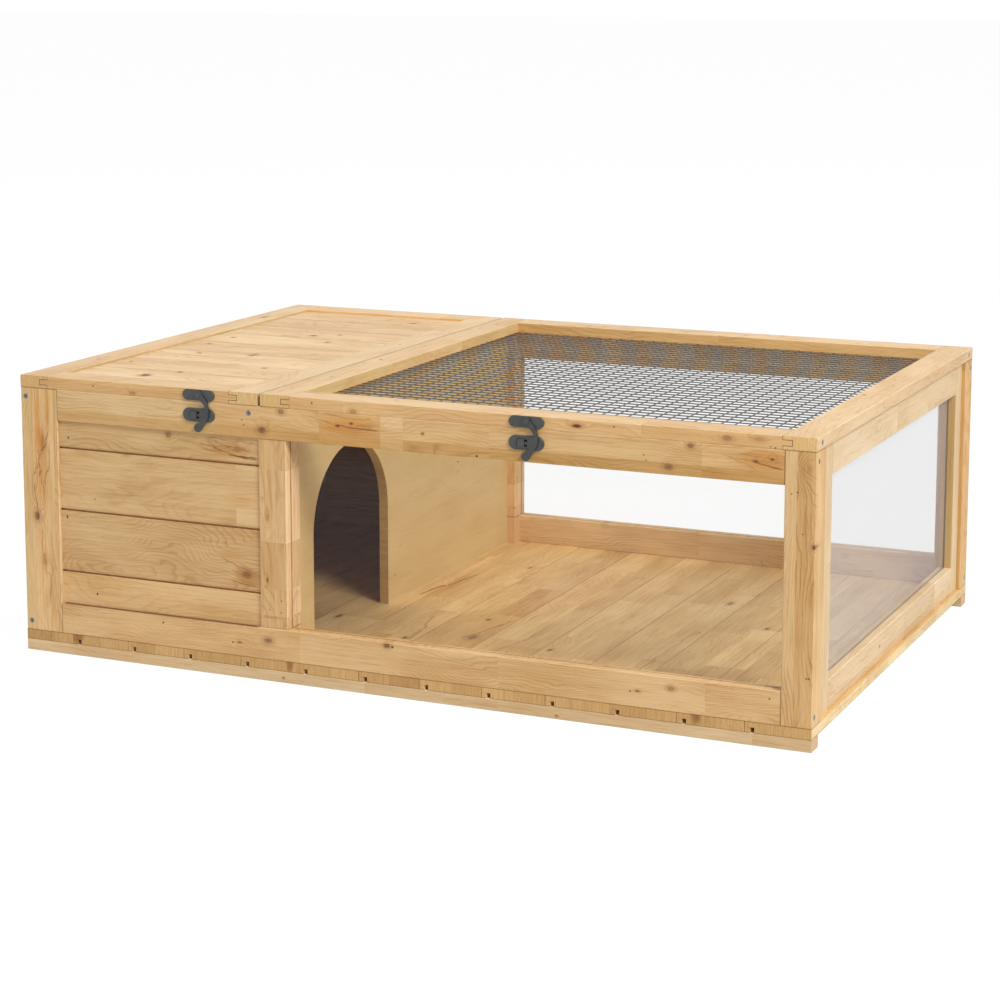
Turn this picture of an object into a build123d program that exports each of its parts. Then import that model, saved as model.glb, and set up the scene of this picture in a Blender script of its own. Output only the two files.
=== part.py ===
from build123d import *
import os

# Tortoise house: a closed hide and a windowed run on one boarded floor, each under
# its own hinged lid, with a swing-arm latch at the front of each lid.
# Millimetres, +X along the length, the front faces -Y, +Z up.

os.makedirs("parts", exist_ok=True)

# Overall sizes
house_length = 1000
house_depth = 692
hide_length = 328

# Base and floor
batten_height = 14
batten_depth = 24
floor_thickness = 12
floor_pitch = 78
floor_first_width = 67
floor_lap = 6
floor_relief = 5

# Walls
wall_height = 301
frame_thickness = 18
rail_height = 38
left_stile_width = 51.5
mid_stile_width = 36
mid_stile_setback = 1
post_width = 35
post_depth = 34
arris = 0.8
fit_clearance = 0.2
groove_depth = 6

# Boarding of the hide
board_thickness = 10
board_pitch = 76
board_count = 4
board_recess = 4
lowest_joint = 79
board_lap = 6
board_shadow_gap = 2.5
left_wall_thickness = 14
left_board_recess = 2

# Windows
pane_thickness = 2.5
pane_setback = 11

# Right wall
side_recess = 5
side_frame_thickness = 18
side_bottom_rail_height = 34
side_front_stile_width = 42
side_rear_stile_width = 28
side_pane_setback = 9.5

# Partition with the arched doorway, and the beam below the meeting lids
partition_thickness = 12
arch_width = 197
arch_height = 228
arch_inset = 88
beam_width = 48
beam_height = 18

# Lids
lid_thickness = 15
lid_rail_width = 38
lid_gap = 3.5
finger_length = 11
finger_height = 7
lid_board_count = 8
lid_board_thickness = 9
lid_board_recess = 3.5
lid_groove_depth = 6
board_joint = 0.3

# Welded mesh, drawn at about twice the real pitch
wire = 1.2
mesh_columns = 17
mesh_rows = 17
mesh_rebate_width = 9
mesh_rebate_depth = 1.5

# Hinges
hinge_width = 40
hinge_leaf = 1.2
hinge_barrel_radius = 2.6
hinge_pin_radius = 1.3
hinge_pin_clearance = 0.06
hinge_stand_off = 0.3
hinge_lid_leaf_height = 13
hinge_frame_leaf_height = 24
hinge_inset = 62

# Latches
latch_left_inset = 78
latch_right_inset = 332
plate_length = 42.5
plate_thickness = 2
lid_plate_height = 13
keeper_height = 16
keeper_drop = 23.5
arm_thickness = 2
arm_drop = 38.4
arm_reach = 14.8
arm_tip_radius = 5
arm_boss_radius = 5.8
arm_running_gap = 0.15
rivet_radius = 2
rivet_clearance = 0.06
rivet_head_radius = 3.2
rivet_head_height = 1
hood_length = 10
hood_width = 9
hood_wall = 0.8
hood_clear_height = 1.4
hood_overlap = 1.7
window_overrun = 2
tongue_reach = 3.5
tongue_height = 3.4
tongue_thickness = 1
metal_edge = 0.4

# Countersunk screws
screw_head_radius = 3.2
screw_shank_radius = 1.8
screw_length = 46
screw_inset = 11
screw_clearance = 0.05
screw_point_length = 4

# Places that the pieces share
front_reach = plate_thickness + arm_running_gap + arm_thickness + arm_running_gap + rivet_head_height
hinge_axis_offset = hinge_stand_off + hinge_barrel_radius
rear_reach = hinge_axis_offset + hinge_barrel_radius
front_y = front_reach - (front_reach + house_depth + rear_reach) / 2
back_y = front_y + house_depth
left_x = -house_length / 2
right_x = house_length / 2
floor_z = batten_height + floor_thickness
wall_top_z = floor_z + wall_height
lid_top_z = wall_top_z + lid_thickness
lower_rail_z = (floor_z, floor_z + rail_height)
upper_rail_z = (wall_top_z - rail_height, wall_top_z)
wall_z = (floor_z, wall_top_z)
rail_x = (left_x + left_stile_width, right_x - post_width)
mid_stile_x = (left_x + hide_length, left_x + hide_length + mid_stile_width)
inner_y = (front_y + frame_thickness, back_y - frame_thickness)
between_posts_y = (front_y + post_depth, back_y - post_depth)


def mid(span):
    """Middle of a range."""
    return (span[0] + span[1]) / 2


def width(span):
    """Length of a range."""
    return span[1] - span[0]


def widened(span, reach):
    """A range grown by the same amount at both ends."""
    return (span[0] - reach, span[1] + reach)


def inward(wall, near, far):
    """Range of y between two depths, measured in from the front or the rear face."""
    if wall == "front":
        return (front_y + near, front_y + far)
    return (back_y - far, back_y - near)


def planed(x, y, z, grain):
    """Planed timber in the open part, with the edges along its grain eased."""
    with BuildSketch(Plane.XY.offset(z[0])) as section:
        with Locations((mid(x), mid(y))):
            Rectangle(width(x), width(y))
    extrude(section.sketch, amount=width(z))
    chamfer(edges().filter_by(grain), length=arris)


def sink(x, y, z):
    """Groove, rebate or mortise cut out of the open part."""
    with Locations((mid(x), mid(y), mid(z))):
        Box(width(x), width(y), width(z), mode=Mode.SUBTRACT)


def drill(*seats):
    """Countersunk hole in the open part for each screw, from the plane of its head."""
    for seat in seats:
        with Locations(seat):
            CounterSinkHole(
                radius=screw_shank_radius + screw_clearance,
                counter_sink_radius=screw_head_radius + screw_clearance,
                depth=screw_length + screw_clearance,
            )


def keep(piece, label):
    """Name a finished piece and write it out."""
    piece.part.label = label
    export_step(piece.part, f"parts/{label}.step")


# Screw seats: the plane of each head, facing out of the wood
def seat_in_end(wall, x, z):
    """Head on the front or the rear face."""
    if wall == "front":
        return Plane(origin=(x, front_y, z), x_dir=(1, 0, 0), z_dir=(0, -1, 0))
    return Plane(origin=(x, back_y, z), x_dir=(1, 0, 0), z_dir=(0, 1, 0))


def seat_in_side(side, y, z):
    """Head on the left or the right face."""
    if side == "left":
        return Plane(origin=(left_x, y, z), x_dir=(0, 1, 0), z_dir=(-1, 0, 0))
    return Plane(origin=(right_x, y, z), x_dir=(0, 1, 0), z_dir=(1, 0, 0))


beam_right_x = mid(mid_stile_x) - partition_thickness / 2
beam_x = (beam_right_x - beam_width, beam_right_x)
beam_z = (wall_top_z - beam_height, wall_top_z)
stile_screw_x = left_x + left_wall_thickness / 2
low_screw_z = floor_z + screw_inset
high_screw_z = wall_top_z - screw_inset
lid_mid_z = wall_top_z + lid_thickness / 2

stile_seats = {
    wall: [seat_in_end(wall, stile_screw_x, low_screw_z), seat_in_end(wall, stile_screw_x, high_screw_z)]
    for wall in ("front", "rear")
}
beam_seats = {wall: seat_in_end(wall, mid(beam_x), mid(beam_z)) for wall in ("front", "rear")}
post_seats = {
    wall: [
        seat_in_side("right", mid(inward(wall, 0, frame_thickness)), low_screw_z),
        seat_in_side("right", mid(inward(wall, 0, frame_thickness)), high_screw_z),
    ]
    for wall in ("front", "rear")
}
lid_seats = {
    side: {
        wall: seat_in_side(side, mid(inward(wall, 0, lid_rail_width)), lid_mid_z)
        for wall in ("front", "rear")
    }
    for side in ("left", "right")
}


# Base battens, front and rear
for wall in ("front", "rear"):
    with BuildPart() as base_batten:
        planed((left_x, right_x), inward(wall, 0, batten_depth), (0, batten_height), Axis.X)
    keep(base_batten, f"base_batten_{wall}")


# Floor: boards from front to back, half lapped, with a relief gap in the lower half
floor_mid_z = batten_height + floor_thickness / 2
floor_joint_count = round((house_length - floor_first_width) / floor_pitch)
floor_edges = [left_x]
for joint in range(floor_joint_count):
    floor_edges.append(left_x + floor_first_width + joint * floor_pitch)
floor_edges.append(right_x)


def floor_corners(start, end):
    """Section of one floor board, lapped over its neighbour on the left and under the one on the right."""
    corners = [(start, floor_z)]
    if start == left_x:
        corners += [(start, batten_height)]
    else:
        lap_start = start + floor_lap + floor_relief
        corners += [(start, floor_mid_z), (lap_start, floor_mid_z), (lap_start, batten_height)]
    if end == right_x:
        corners += [(end, batten_height), (end, floor_z)]
    else:
        lap_end = end + floor_lap
        lap_z = floor_mid_z - fit_clearance
        corners += [(lap_end, batten_height), (lap_end, lap_z), (end - board_joint, lap_z)]
        corners += [(end - board_joint, floor_z)]
    return corners


with BuildPart() as floor_boards:
    for start, end in zip(floor_edges[:-1], floor_edges[1:]):
        with BuildSketch(Plane.XZ.offset(-back_y)):
            with BuildLine():
                Polyline(*floor_corners(start, end), close=True)
            make_face()
        extrude(amount=house_depth)
keep(floor_boards, "floor_boards")


# Front and rear walls: stiles, rails, boarded hide and clear window
board_groove = (board_recess - fit_clearance / 2, board_recess + board_thickness + fit_clearance / 2)
pane_groove = (pane_setback - fit_clearance / 2, pane_setback + pane_thickness + fit_clearance / 2)
hide_opening_x = (rail_x[0], mid_stile_x[0])
run_opening_x = (mid_stile_x[1], rail_x[1])
opening_z = (lower_rail_z[1], upper_rail_z[0])
upper_groove_z = (opening_z[1], opening_z[1] + groove_depth)
lower_groove_z = (opening_z[0] - groove_depth, opening_z[0])


def board_ranges(low, high):
    """Heights of the boards between two limits, with the joints at the set pitch."""
    joints = [floor_z + lowest_joint + row * board_pitch for row in range(board_count - 1)]
    return list(zip([low] + joints, joints + [high]))


def board_corners(depths, row):
    """Section of one shiplap board, whose front lip covers the tongue of the board below."""
    outer, lip_back, tongue_front, inner = depths
    low, high = boards_z[row]
    corners = [(outer, low)]
    if row == board_count - 1:
        corners += [(outer, high), (inner, high)]
    else:
        lip_z = high - board_shadow_gap
        tongue_z = high + board_lap
        corners += [(outer, lip_z), (tongue_front, lip_z), (tongue_front, tongue_z), (inner, tongue_z)]
    if row == 0:
        corners += [(inner, low)]
    else:
        rebate_z = low + board_lap + fit_clearance
        corners += [(inner, rebate_z), (lip_back, rebate_z), (lip_back, low)]
    return corners


boards_z = board_ranges(*widened(opening_z, groove_depth - fit_clearance))

for wall in ("front", "rear"):
    thickness_y = inward(wall, 0, frame_thickness)
    board_groove_y = inward(wall, *board_groove)
    pane_groove_y = inward(wall, *pane_groove)

    # Left stile, which covers the end of the left wall
    with BuildPart() as left_stile:
        planed((left_x, rail_x[0]), thickness_y, wall_z, Axis.Z)
        sink((rail_x[0] - groove_depth, rail_x[0]), board_groove_y, widened(opening_z, groove_depth))
        drill(*stile_seats[wall])
    keep(left_stile, f"{wall}_left_stile")

    # Middle post, between the hide and the run, halved over the backs of the rails
    halving_y = inward(wall, mid_stile_setback, frame_thickness)
    with BuildPart() as mid_stile:
        planed(mid_stile_x, inward(wall, mid_stile_setback, post_depth), wall_z, Axis.Z)
        sink(mid_stile_x, halving_y, lower_rail_z)
        sink(mid_stile_x, halving_y, upper_rail_z)
        sink((mid_stile_x[0], mid_stile_x[0] + groove_depth), board_groove_y, opening_z)
        sink((mid_stile_x[1] - groove_depth, mid_stile_x[1]), pane_groove_y, opening_z)
    keep(mid_stile, f"{wall}_mid_stile")

    # Right corner post
    with BuildPart() as right_post:
        planed((rail_x[1], right_x), inward(wall, 0, post_depth), wall_z, Axis.Z)
        sink((rail_x[1], rail_x[1] + groove_depth), pane_groove_y, widened(opening_z, groove_depth))
        drill(*post_seats[wall])
    keep(right_post, f"{wall}_right_post")

    # Upper and lower rails, grooved for the boards and for the pane
    with BuildPart() as top_rail:
        planed(rail_x, thickness_y, upper_rail_z, Axis.X)
        sink(widened(hide_opening_x, groove_depth), board_groove_y, upper_groove_z)
        sink(widened(run_opening_x, groove_depth), pane_groove_y, upper_groove_z)
        drill(beam_seats[wall], *post_seats[wall])
    keep(top_rail, f"{wall}_top_rail")

    with BuildPart() as bottom_rail:
        planed(rail_x, thickness_y, lower_rail_z, Axis.X)
        sink(widened(hide_opening_x, groove_depth), board_groove_y, lower_groove_z)
        sink(widened(run_opening_x, groove_depth), pane_groove_y, lower_groove_z)
        drill(*post_seats[wall])
    keep(bottom_rail, f"{wall}_bottom_rail")

    # Clear pane of the run
    pane_x = widened(run_opening_x, groove_depth - fit_clearance)
    pane_y = inward(wall, pane_setback, pane_setback + pane_thickness)
    pane_z = widened(opening_z, groove_depth - fit_clearance)
    with BuildPart() as pane:
        with BuildSketch(Plane.XZ.offset(-pane_y[1])):
            with Locations((mid(pane_x), mid(pane_z))):
                Rectangle(width(pane_x), width(pane_z))
        extrude(amount=pane_thickness)
    keep(pane, f"{wall}_pane")


# Shiplap boards across the front of the hide, one node each
board_x = widened(hide_opening_x, groove_depth - fit_clearance)
lip_depth = board_thickness / 2
board_section = (0, lip_depth, lip_depth + fit_clearance, board_thickness)
front_depths = [front_y + board_recess + depth for depth in board_section]
rear_depths = [back_y - board_recess - depth for depth in board_section]

for row in range(board_count):
    with BuildPart() as front_board:
        with BuildSketch(Plane.YZ.offset(board_x[0])):
            with BuildLine():
                Polyline(*board_corners(front_depths, row), close=True)
            make_face()
        extrude(amount=width(board_x))
    keep(front_board, f"front_board_{row + 1}")

with BuildPart() as rear_boards:
    for row in range(board_count):
        with BuildSketch(Plane.YZ.offset(board_x[0])):
            with BuildLine():
                Polyline(*board_corners(rear_depths, row), close=True)
            make_face()
        extrude(amount=width(board_x))
keep(rear_boards, "rear_boards")


# Left wall: rails with the same boarding between them, butted between the end frames
left_wall_x = (left_x, left_x + left_wall_thickness)
left_depths = [left_x + left_board_recess + depth for depth in board_section]
left_groove_x = (
    left_x + left_board_recess - fit_clearance / 2,
    left_x + left_board_recess + board_thickness + fit_clearance / 2,
)

with BuildPart() as left_top_rail:
    planed(left_wall_x, inner_y, upper_rail_z, Axis.Y)
    sink(left_groove_x, inner_y, upper_groove_z)
    drill(*stile_seats["front"], *stile_seats["rear"])
keep(left_top_rail, "left_top_rail")

with BuildPart() as left_bottom_rail:
    planed(left_wall_x, inner_y, lower_rail_z, Axis.Y)
    sink(left_groove_x, inner_y, lower_groove_z)
    drill(*stile_seats["front"], *stile_seats["rear"])
keep(left_bottom_rail, "left_bottom_rail")

with BuildPart() as left_boards:
    for row in range(board_count):
        with BuildSketch(Plane.XZ.offset(-inner_y[1])):
            with BuildLine():
                Polyline(*board_corners(left_depths, row), close=True)
            make_face()
        extrude(amount=width(inner_y))
keep(left_boards, "left_boards")


# Right wall: a glazed frame set back between the corner posts
side_x = (right_x - side_recess - side_frame_thickness, right_x - side_recess)
side_opening_y = (
    between_posts_y[0] + side_front_stile_width,
    between_posts_y[1] - side_rear_stile_width,
)
side_opening_z = (floor_z + side_bottom_rail_height, upper_rail_z[0])
side_pane_x = (side_x[1] - side_pane_setback - pane_thickness, side_x[1] - side_pane_setback)
side_groove_x = widened(side_pane_x, fit_clearance / 2)
side_groove_z = widened(side_opening_z, groove_depth)

with BuildPart() as right_front_stile:
    planed(side_x, (between_posts_y[0], side_opening_y[0]), wall_z, Axis.Z)
    sink(side_groove_x, (side_opening_y[0] - groove_depth, side_opening_y[0]), side_groove_z)
keep(right_front_stile, "right_front_stile")

with BuildPart() as right_rear_stile:
    planed(side_x, (side_opening_y[1], between_posts_y[1]), wall_z, Axis.Z)
    sink(side_groove_x, (side_opening_y[1], side_opening_y[1] + groove_depth), side_groove_z)
keep(right_rear_stile, "right_rear_stile")

with BuildPart() as right_top_rail:
    planed(side_x, side_opening_y, (side_opening_z[1], wall_top_z), Axis.Y)
    sink(side_groove_x, side_opening_y, (side_opening_z[1], side_opening_z[1] + groove_depth))
keep(right_top_rail, "right_top_rail")

with BuildPart() as right_bottom_rail:
    planed(side_x, side_opening_y, (floor_z, side_opening_z[0]), Axis.Y)
    sink(side_groove_x, side_opening_y, (side_opening_z[0] - groove_depth, side_opening_z[0]))
keep(right_bottom_rail, "right_bottom_rail")

side_pane_y = widened(side_opening_y, groove_depth - fit_clearance)
side_pane_z = widened(side_opening_z, groove_depth - fit_clearance)
with BuildPart() as right_pane:
    with BuildSketch(Plane.YZ.offset(side_pane_x[0])):
        with Locations((mid(side_pane_y), mid(side_pane_z))):
            Rectangle(width(side_pane_y), width(side_pane_z))
    extrude(amount=pane_thickness)
keep(right_pane, "right_pane")


# Partition: one panel between the middle posts, with a round-headed doorway near the front
partition_x = (mid(mid_stile_x) - partition_thickness / 2, mid(mid_stile_x) + partition_thickness / 2)
arch_radius = arch_width / 2
arch_y = front_y + arch_inset + arch_radius
arch_spring_z = floor_z + arch_height - arch_radius

with BuildPart() as partition:
    with BuildSketch(Plane.YZ.offset(partition_x[0])):
        with Locations((mid(between_posts_y), mid(wall_z))):
            Rectangle(width(between_posts_y), wall_height)
        with BuildLine():
            Line((arch_y - arch_radius, floor_z), (arch_y - arch_radius, arch_spring_z))
            ThreePointArc(
                (arch_y - arch_radius, arch_spring_z),
                (arch_y, arch_spring_z + arch_radius),
                (arch_y + arch_radius, arch_spring_z),
            )
            Line((arch_y + arch_radius, arch_spring_z), (arch_y + arch_radius, floor_z))
            Line((arch_y + arch_radius, floor_z), (arch_y - arch_radius, floor_z))
        make_face(mode=Mode.SUBTRACT)
    extrude(amount=partition_thickness)
keep(partition, "partition")

with BuildPart() as divider_beam:
    planed(beam_x, inner_y, beam_z, Axis.Y)
    for wall in ("front", "rear"):
        sink((mid_stile_x[0], beam_x[1]), inward(wall, frame_thickness, post_depth), beam_z)
    drill(beam_seats["front"], beam_seats["rear"])
keep(divider_beam, "divider_beam")


# Lids: side rails from front to back, cross rails between them on open stub tenons
lid_x = {
    "left": (left_x, left_x + hide_length),
    "right": (left_x + hide_length + lid_gap, right_x),
}
lid_z = (wall_top_z, lid_top_z)
finger_z = (lid_mid_z - finger_height / 2, lid_mid_z + finger_height / 2)
lid_board_top_z = lid_top_z - lid_board_recess
lid_board_z = (lid_board_top_z - lid_board_thickness, lid_board_top_z)
lid_groove_z = widened(lid_board_z, fit_clearance / 2)
lid_opening_y = (front_y + lid_rail_width, back_y - lid_rail_width)
mesh_rebate_z = (wall_top_z, wall_top_z + mesh_rebate_depth)
tenon_width = lid_rail_width - lid_groove_depth

for side in ("left", "right"):
    boarded = side == "left"
    outer_x = lid_x[side]
    opening_x = widened(outer_x, -lid_rail_width)
    rails_x = {"left": (outer_x[0], opening_x[0]), "right": (opening_x[1], outer_x[1])}
    recess_width = lid_groove_depth if boarded else mesh_rebate_width
    recess_x = widened(opening_x, recess_width)
    recess_y = widened(lid_opening_y, recess_width)
    recess_z = lid_groove_z if boarded else mesh_rebate_z
    tenon_x = widened(opening_x, finger_length)
    mortise_x = widened(tenon_x, fit_clearance)
    mortise_z = widened(finger_z, fit_clearance / 2)

    for edge in ("left", "right"):
        with BuildPart() as side_rail:
            planed(rails_x[edge], (front_y, back_y), lid_z, Axis.Y)
            for wall in ("front", "rear"):
                sink(mortise_x, inward(wall, 0, tenon_width), mortise_z)
            sink(recess_x, recess_y, recess_z)
            if edge == side:
                drill(*lid_seats[side].values())
        keep(side_rail, f"lid_{side}_{edge}_rail")

    for wall in ("front", "rear"):
        tenon_y = inward(wall, 0, tenon_width)
        with BuildPart() as cross_rail:
            planed(opening_x, inward(wall, 0, lid_rail_width), lid_z, Axis.X)
            with Locations((mid(tenon_x), mid(tenon_y), lid_mid_z)):
                Box(width(tenon_x), tenon_width, finger_height)
            sink(recess_x, recess_y, recess_z)
            drill(lid_seats[side][wall])
        keep(cross_rail, f"lid_{side}_{wall}_rail")


# Boards of the hide lid, laid along X in the grooves of its frame
lid_board_x = widened(widened(lid_x["left"], -lid_rail_width), lid_groove_depth - fit_clearance)
lid_boards_y = widened(lid_opening_y, lid_groove_depth - fit_clearance)
lid_board_pitch = width(lid_boards_y) / lid_board_count

for row in range(lid_board_count):
    start_y = lid_boards_y[0] + row * lid_board_pitch
    with BuildPart() as lid_board:
        planed(lid_board_x, (start_y, start_y + lid_board_pitch - board_joint), lid_board_z, Axis.X)
    keep(lid_board, f"lid_left_board_{row + 1}")


# Mesh of the run lid: one holed sheet, held in the rebate below its frame
mesh_opening_x = widened(lid_x["right"], -lid_rail_width)
mesh_x = widened(mesh_opening_x, mesh_rebate_width - fit_clearance)
mesh_y = widened(lid_opening_y, mesh_rebate_width - fit_clearance)
mesh_pitch_x = width(mesh_opening_x) / mesh_columns
mesh_pitch_y = width(lid_opening_y) / mesh_rows

with BuildPart() as lid_mesh:
    with BuildSketch(Plane.XY.offset(mesh_rebate_z[1] - wire)):
        with Locations((mid(mesh_x), mid(mesh_y))):
            Rectangle(width(mesh_x), width(mesh_y))
        with Locations((mid(mesh_opening_x), mid(lid_opening_y))):
            with GridLocations(mesh_pitch_x, mesh_pitch_y, mesh_columns, mesh_rows):
                Rectangle(mesh_pitch_x - wire, mesh_pitch_y - wire, mode=Mode.SUBTRACT)
    extrude(amount=wire)
keep(lid_mesh, "lid_right_mesh")


# Butt hinges on the back: two outer knuckles on the house, one middle knuckle on the lid
hinge_y = back_y + hinge_axis_offset
hinge_knuckle = hinge_width / 3
hinge_clear_z = hinge_barrel_radius + hinge_stand_off
hinge_places = {
    side: [lid_x[side][0] + hinge_inset, lid_x[side][1] - hinge_inset] for side in ("left", "right")
}


def knuckle(x, length):
    """Bored barrel on the hinge line, joined to its leaf by a short web."""
    with Locations(Location((x, hinge_y, wall_top_z), (0, 90, 0))):
        Cylinder(hinge_barrel_radius, length)
        Cylinder(hinge_pin_radius + hinge_pin_clearance, length, mode=Mode.SUBTRACT)


def leaf(x, length, z):
    """Flat of a hinge leaf against the wood."""
    with Locations((x, back_y + hinge_leaf / 2, mid(z))):
        Box(length, hinge_leaf, width(z))


with BuildPart() as hinge_frame_leaves:
    for x in hinge_places["left"] + hinge_places["right"]:
        leaf(x, hinge_width, (wall_top_z - hinge_frame_leaf_height, wall_top_z - hinge_clear_z))
        for offset in (-hinge_knuckle, hinge_knuckle):
            knuckle_x = x + offset
            leaf(knuckle_x, hinge_knuckle - hinge_stand_off, (wall_top_z - hinge_clear_z, wall_top_z))
            knuckle(knuckle_x, hinge_knuckle - hinge_stand_off)
keep(hinge_frame_leaves, "hinge_frame_leaves")

for side in ("left", "right"):
    with BuildPart() as hinge_lid_leaves:
        for x in hinge_places[side]:
            leaf(x, hinge_width, (wall_top_z + hinge_clear_z, wall_top_z + hinge_lid_leaf_height))
            leaf(x, hinge_knuckle - hinge_stand_off, (wall_top_z, wall_top_z + hinge_clear_z))
            knuckle(x, hinge_knuckle - hinge_stand_off)
    keep(hinge_lid_leaves, f"lid_{side}_hinge_leaves")

with BuildPart() as hinge_pins:
    for x in hinge_places["left"] + hinge_places["right"]:
        with Locations(Location((x, hinge_y, wall_top_z), (0, 90, 0))):
            Cylinder(hinge_pin_radius, hinge_width)
keep(hinge_pins, "hinge_pins")


# Swing-arm latches: a plate with its rivet on the lid, an arm, and a keeper on the front rail
keeper_z = lid_mid_z - keeper_drop
arm_back = plate_thickness + arm_running_gap
arm_front = arm_back + arm_thickness
rivet_back = arm_front + arm_running_gap
hood_inside = plate_thickness + hood_clear_height
hood_front = hood_inside + hood_wall
hood_end = -hood_overlap
hood_start = hood_end - hood_length
hood_shoulder = hood_start + hood_front - plate_thickness
window_height = hood_width - 2 * hood_wall
tongue_x = (-tongue_reach, arm_reach / 3)
latch_x = {"left": lid_x["left"][1] - latch_left_inset, "right": lid_x["right"][1] - latch_right_inset}

# The blade's outline below the rivet, across the bow's reach and down the rivet-to-tip distance
blade_shoulder_share = (0.18, 0.135)
blade_bow_shares = [(0.80, -0.16), (1.00, -0.50), (0.76, -0.80)]
blade_tail_shares = [(0.34, -1.03), (0.03, -0.90)]
blade_tooth_shares = [(0.32, -0.76), (0.15, -0.69), (0.15, -0.53), (0.65, -0.39)]
blade_neck_shares = [(0.62, -0.30), (0.28, -0.17)]


def latch_point(side, share):
    """Place on the front face from shares of the arm's reach and drop, measured from its rivet."""
    return (latch_x[side] + share[0] * arm_reach, lid_mid_z + share[1] * arm_drop)


for side in ("left", "right"):
    pivot = (latch_x[side], lid_mid_z)
    keeper_centre = (latch_x[side], keeper_z)
    tip_centre = (latch_x[side], lid_mid_z - arm_drop)

    # Plate on the lid, with the rivet that carries the arm
    with BuildPart() as latch_plate:
        with BuildSketch(Plane.XZ.offset(-front_y)):
            with Locations(pivot):
                SlotOverall(plate_length, lid_plate_height)
        extrude(amount=plate_thickness)
        chamfer(latch_plate.faces().sort_by(Axis.Y)[0].edges(), length=metal_edge)
        with BuildSketch(Plane.XZ.offset(plate_thickness - front_y)):
            with Locations(pivot):
                Circle(rivet_radius)
        extrude(amount=rivet_back - plate_thickness)
        with BuildSketch(Plane.XZ.offset(rivet_back - front_y)):
            with Locations(pivot):
                Circle(rivet_head_radius)
        extrude(amount=rivet_head_height)
        chamfer(latch_plate.faces().sort_by(Axis.Y)[0].edges(), length=metal_edge)
    keep(latch_plate, f"latch_plate_{side}")

    # Arm: a boss at the rivet, a bowed blade with its tooth, and a round thumb tip
    with BuildPart() as latch_arm:
        with BuildSketch(Plane.XZ.offset(arm_back - front_y)):
            with Locations(pivot):
                Circle(arm_boss_radius)
            with Locations(tip_centre):
                Circle(arm_tip_radius)
            with BuildLine():
                bow = [latch_point(side, share) for share in blade_bow_shares]
                tail = [latch_point(side, share) for share in blade_tail_shares]
                tooth = [latch_point(side, share) for share in blade_tooth_shares]
                neck = [latch_point(side, share) for share in blade_neck_shares]
                shoulder = latch_point(side, blade_shoulder_share)
                Line(shoulder, bow[0])
                ThreePointArc(*bow)
                Line(bow[-1], tail[0])
                Line(tail[0], tail[1])
                Polyline(tail[1], *tooth)
                Line(tooth[-1], neck[0])
                Line(neck[0], neck[1])
                Line(neck[1], shoulder)
            make_face()
            with Locations(pivot):
                Circle(rivet_radius + rivet_clearance, mode=Mode.SUBTRACT)
        extrude(amount=arm_thickness)
        with BuildSketch(Plane.XZ.offset(arm_back - front_y)):
            with Locations((latch_x[side] + mid(tongue_x), keeper_z)):
                Rectangle(width(tongue_x), tongue_height)
        extrude(amount=tongue_thickness)
    keep(latch_arm, f"latch_arm_{side}")

    # Keeper: a plate with a pressed hood, open to the right over a window, that takes the tongue
    with BuildPart() as latch_keeper:
        with BuildSketch(Plane.XZ.offset(-front_y)):
            with Locations(keeper_centre):
                SlotOverall(plate_length, keeper_height)
        extrude(amount=plate_thickness)
        chamfer(latch_keeper.faces().sort_by(Axis.Y)[0].edges(), length=metal_edge)
        with BuildSketch(Plane.XY.offset(keeper_z - hood_width / 2)):
            with BuildLine():
                Polyline(
                    (latch_x[side] + hood_start, front_y - plate_thickness),
                    (latch_x[side] + hood_shoulder, front_y - hood_front),
                    (latch_x[side] + hood_end, front_y - hood_front),
                    (latch_x[side] + hood_end, front_y - plate_thickness),
                    close=True,
                )
            make_face()
        extrude(amount=hood_width)
        with BuildSketch(Plane.XZ.offset(-front_y)):
            with Locations((latch_x[side] + (hood_shoulder + window_overrun) / 2, keeper_z)):
                Rectangle(window_overrun - hood_shoulder, window_height)
        extrude(amount=hood_inside, mode=Mode.SUBTRACT)
    keep(latch_keeper, f"latch_keeper_{side}")


# Screws that hold the frames together, with heads flush in the wood
frame_seats = [beam_seats["front"], beam_seats["rear"]]
for wall in ("front", "rear"):
    frame_seats += stile_seats[wall] + post_seats[wall]


def screw():
    """Countersunk wood screw, pointed, from the plane of its head."""
    with BuildSketch(Plane.XZ) as half_section:
        with BuildLine() as outline:
            Polyline(
                (0, 0),
                (screw_head_radius, 0),
                (screw_shank_radius, screw_shank_radius - screw_head_radius),
                (screw_shank_radius, screw_point_length - screw_length),
                (0, -screw_length),
                close=True,
            )
        make_face(outline.edges())
    return revolve(half_section.sketch, axis=Axis.Z, mode=Mode.PRIVATE)


one_screw = screw()

with BuildPart() as frame_screws:
    with Locations(*frame_seats):
        add(one_screw)
keep(frame_screws, "frame_screws")

for side in ("left", "right"):
    with BuildPart() as lid_screws:
        with Locations(*lid_seats[side].values()):
            add(one_screw)
    keep(lid_screws, f"lid_{side}_screws")
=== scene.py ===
import math
import random

import bmesh
import bpy
from mathutils import Matrix, Vector


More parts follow.
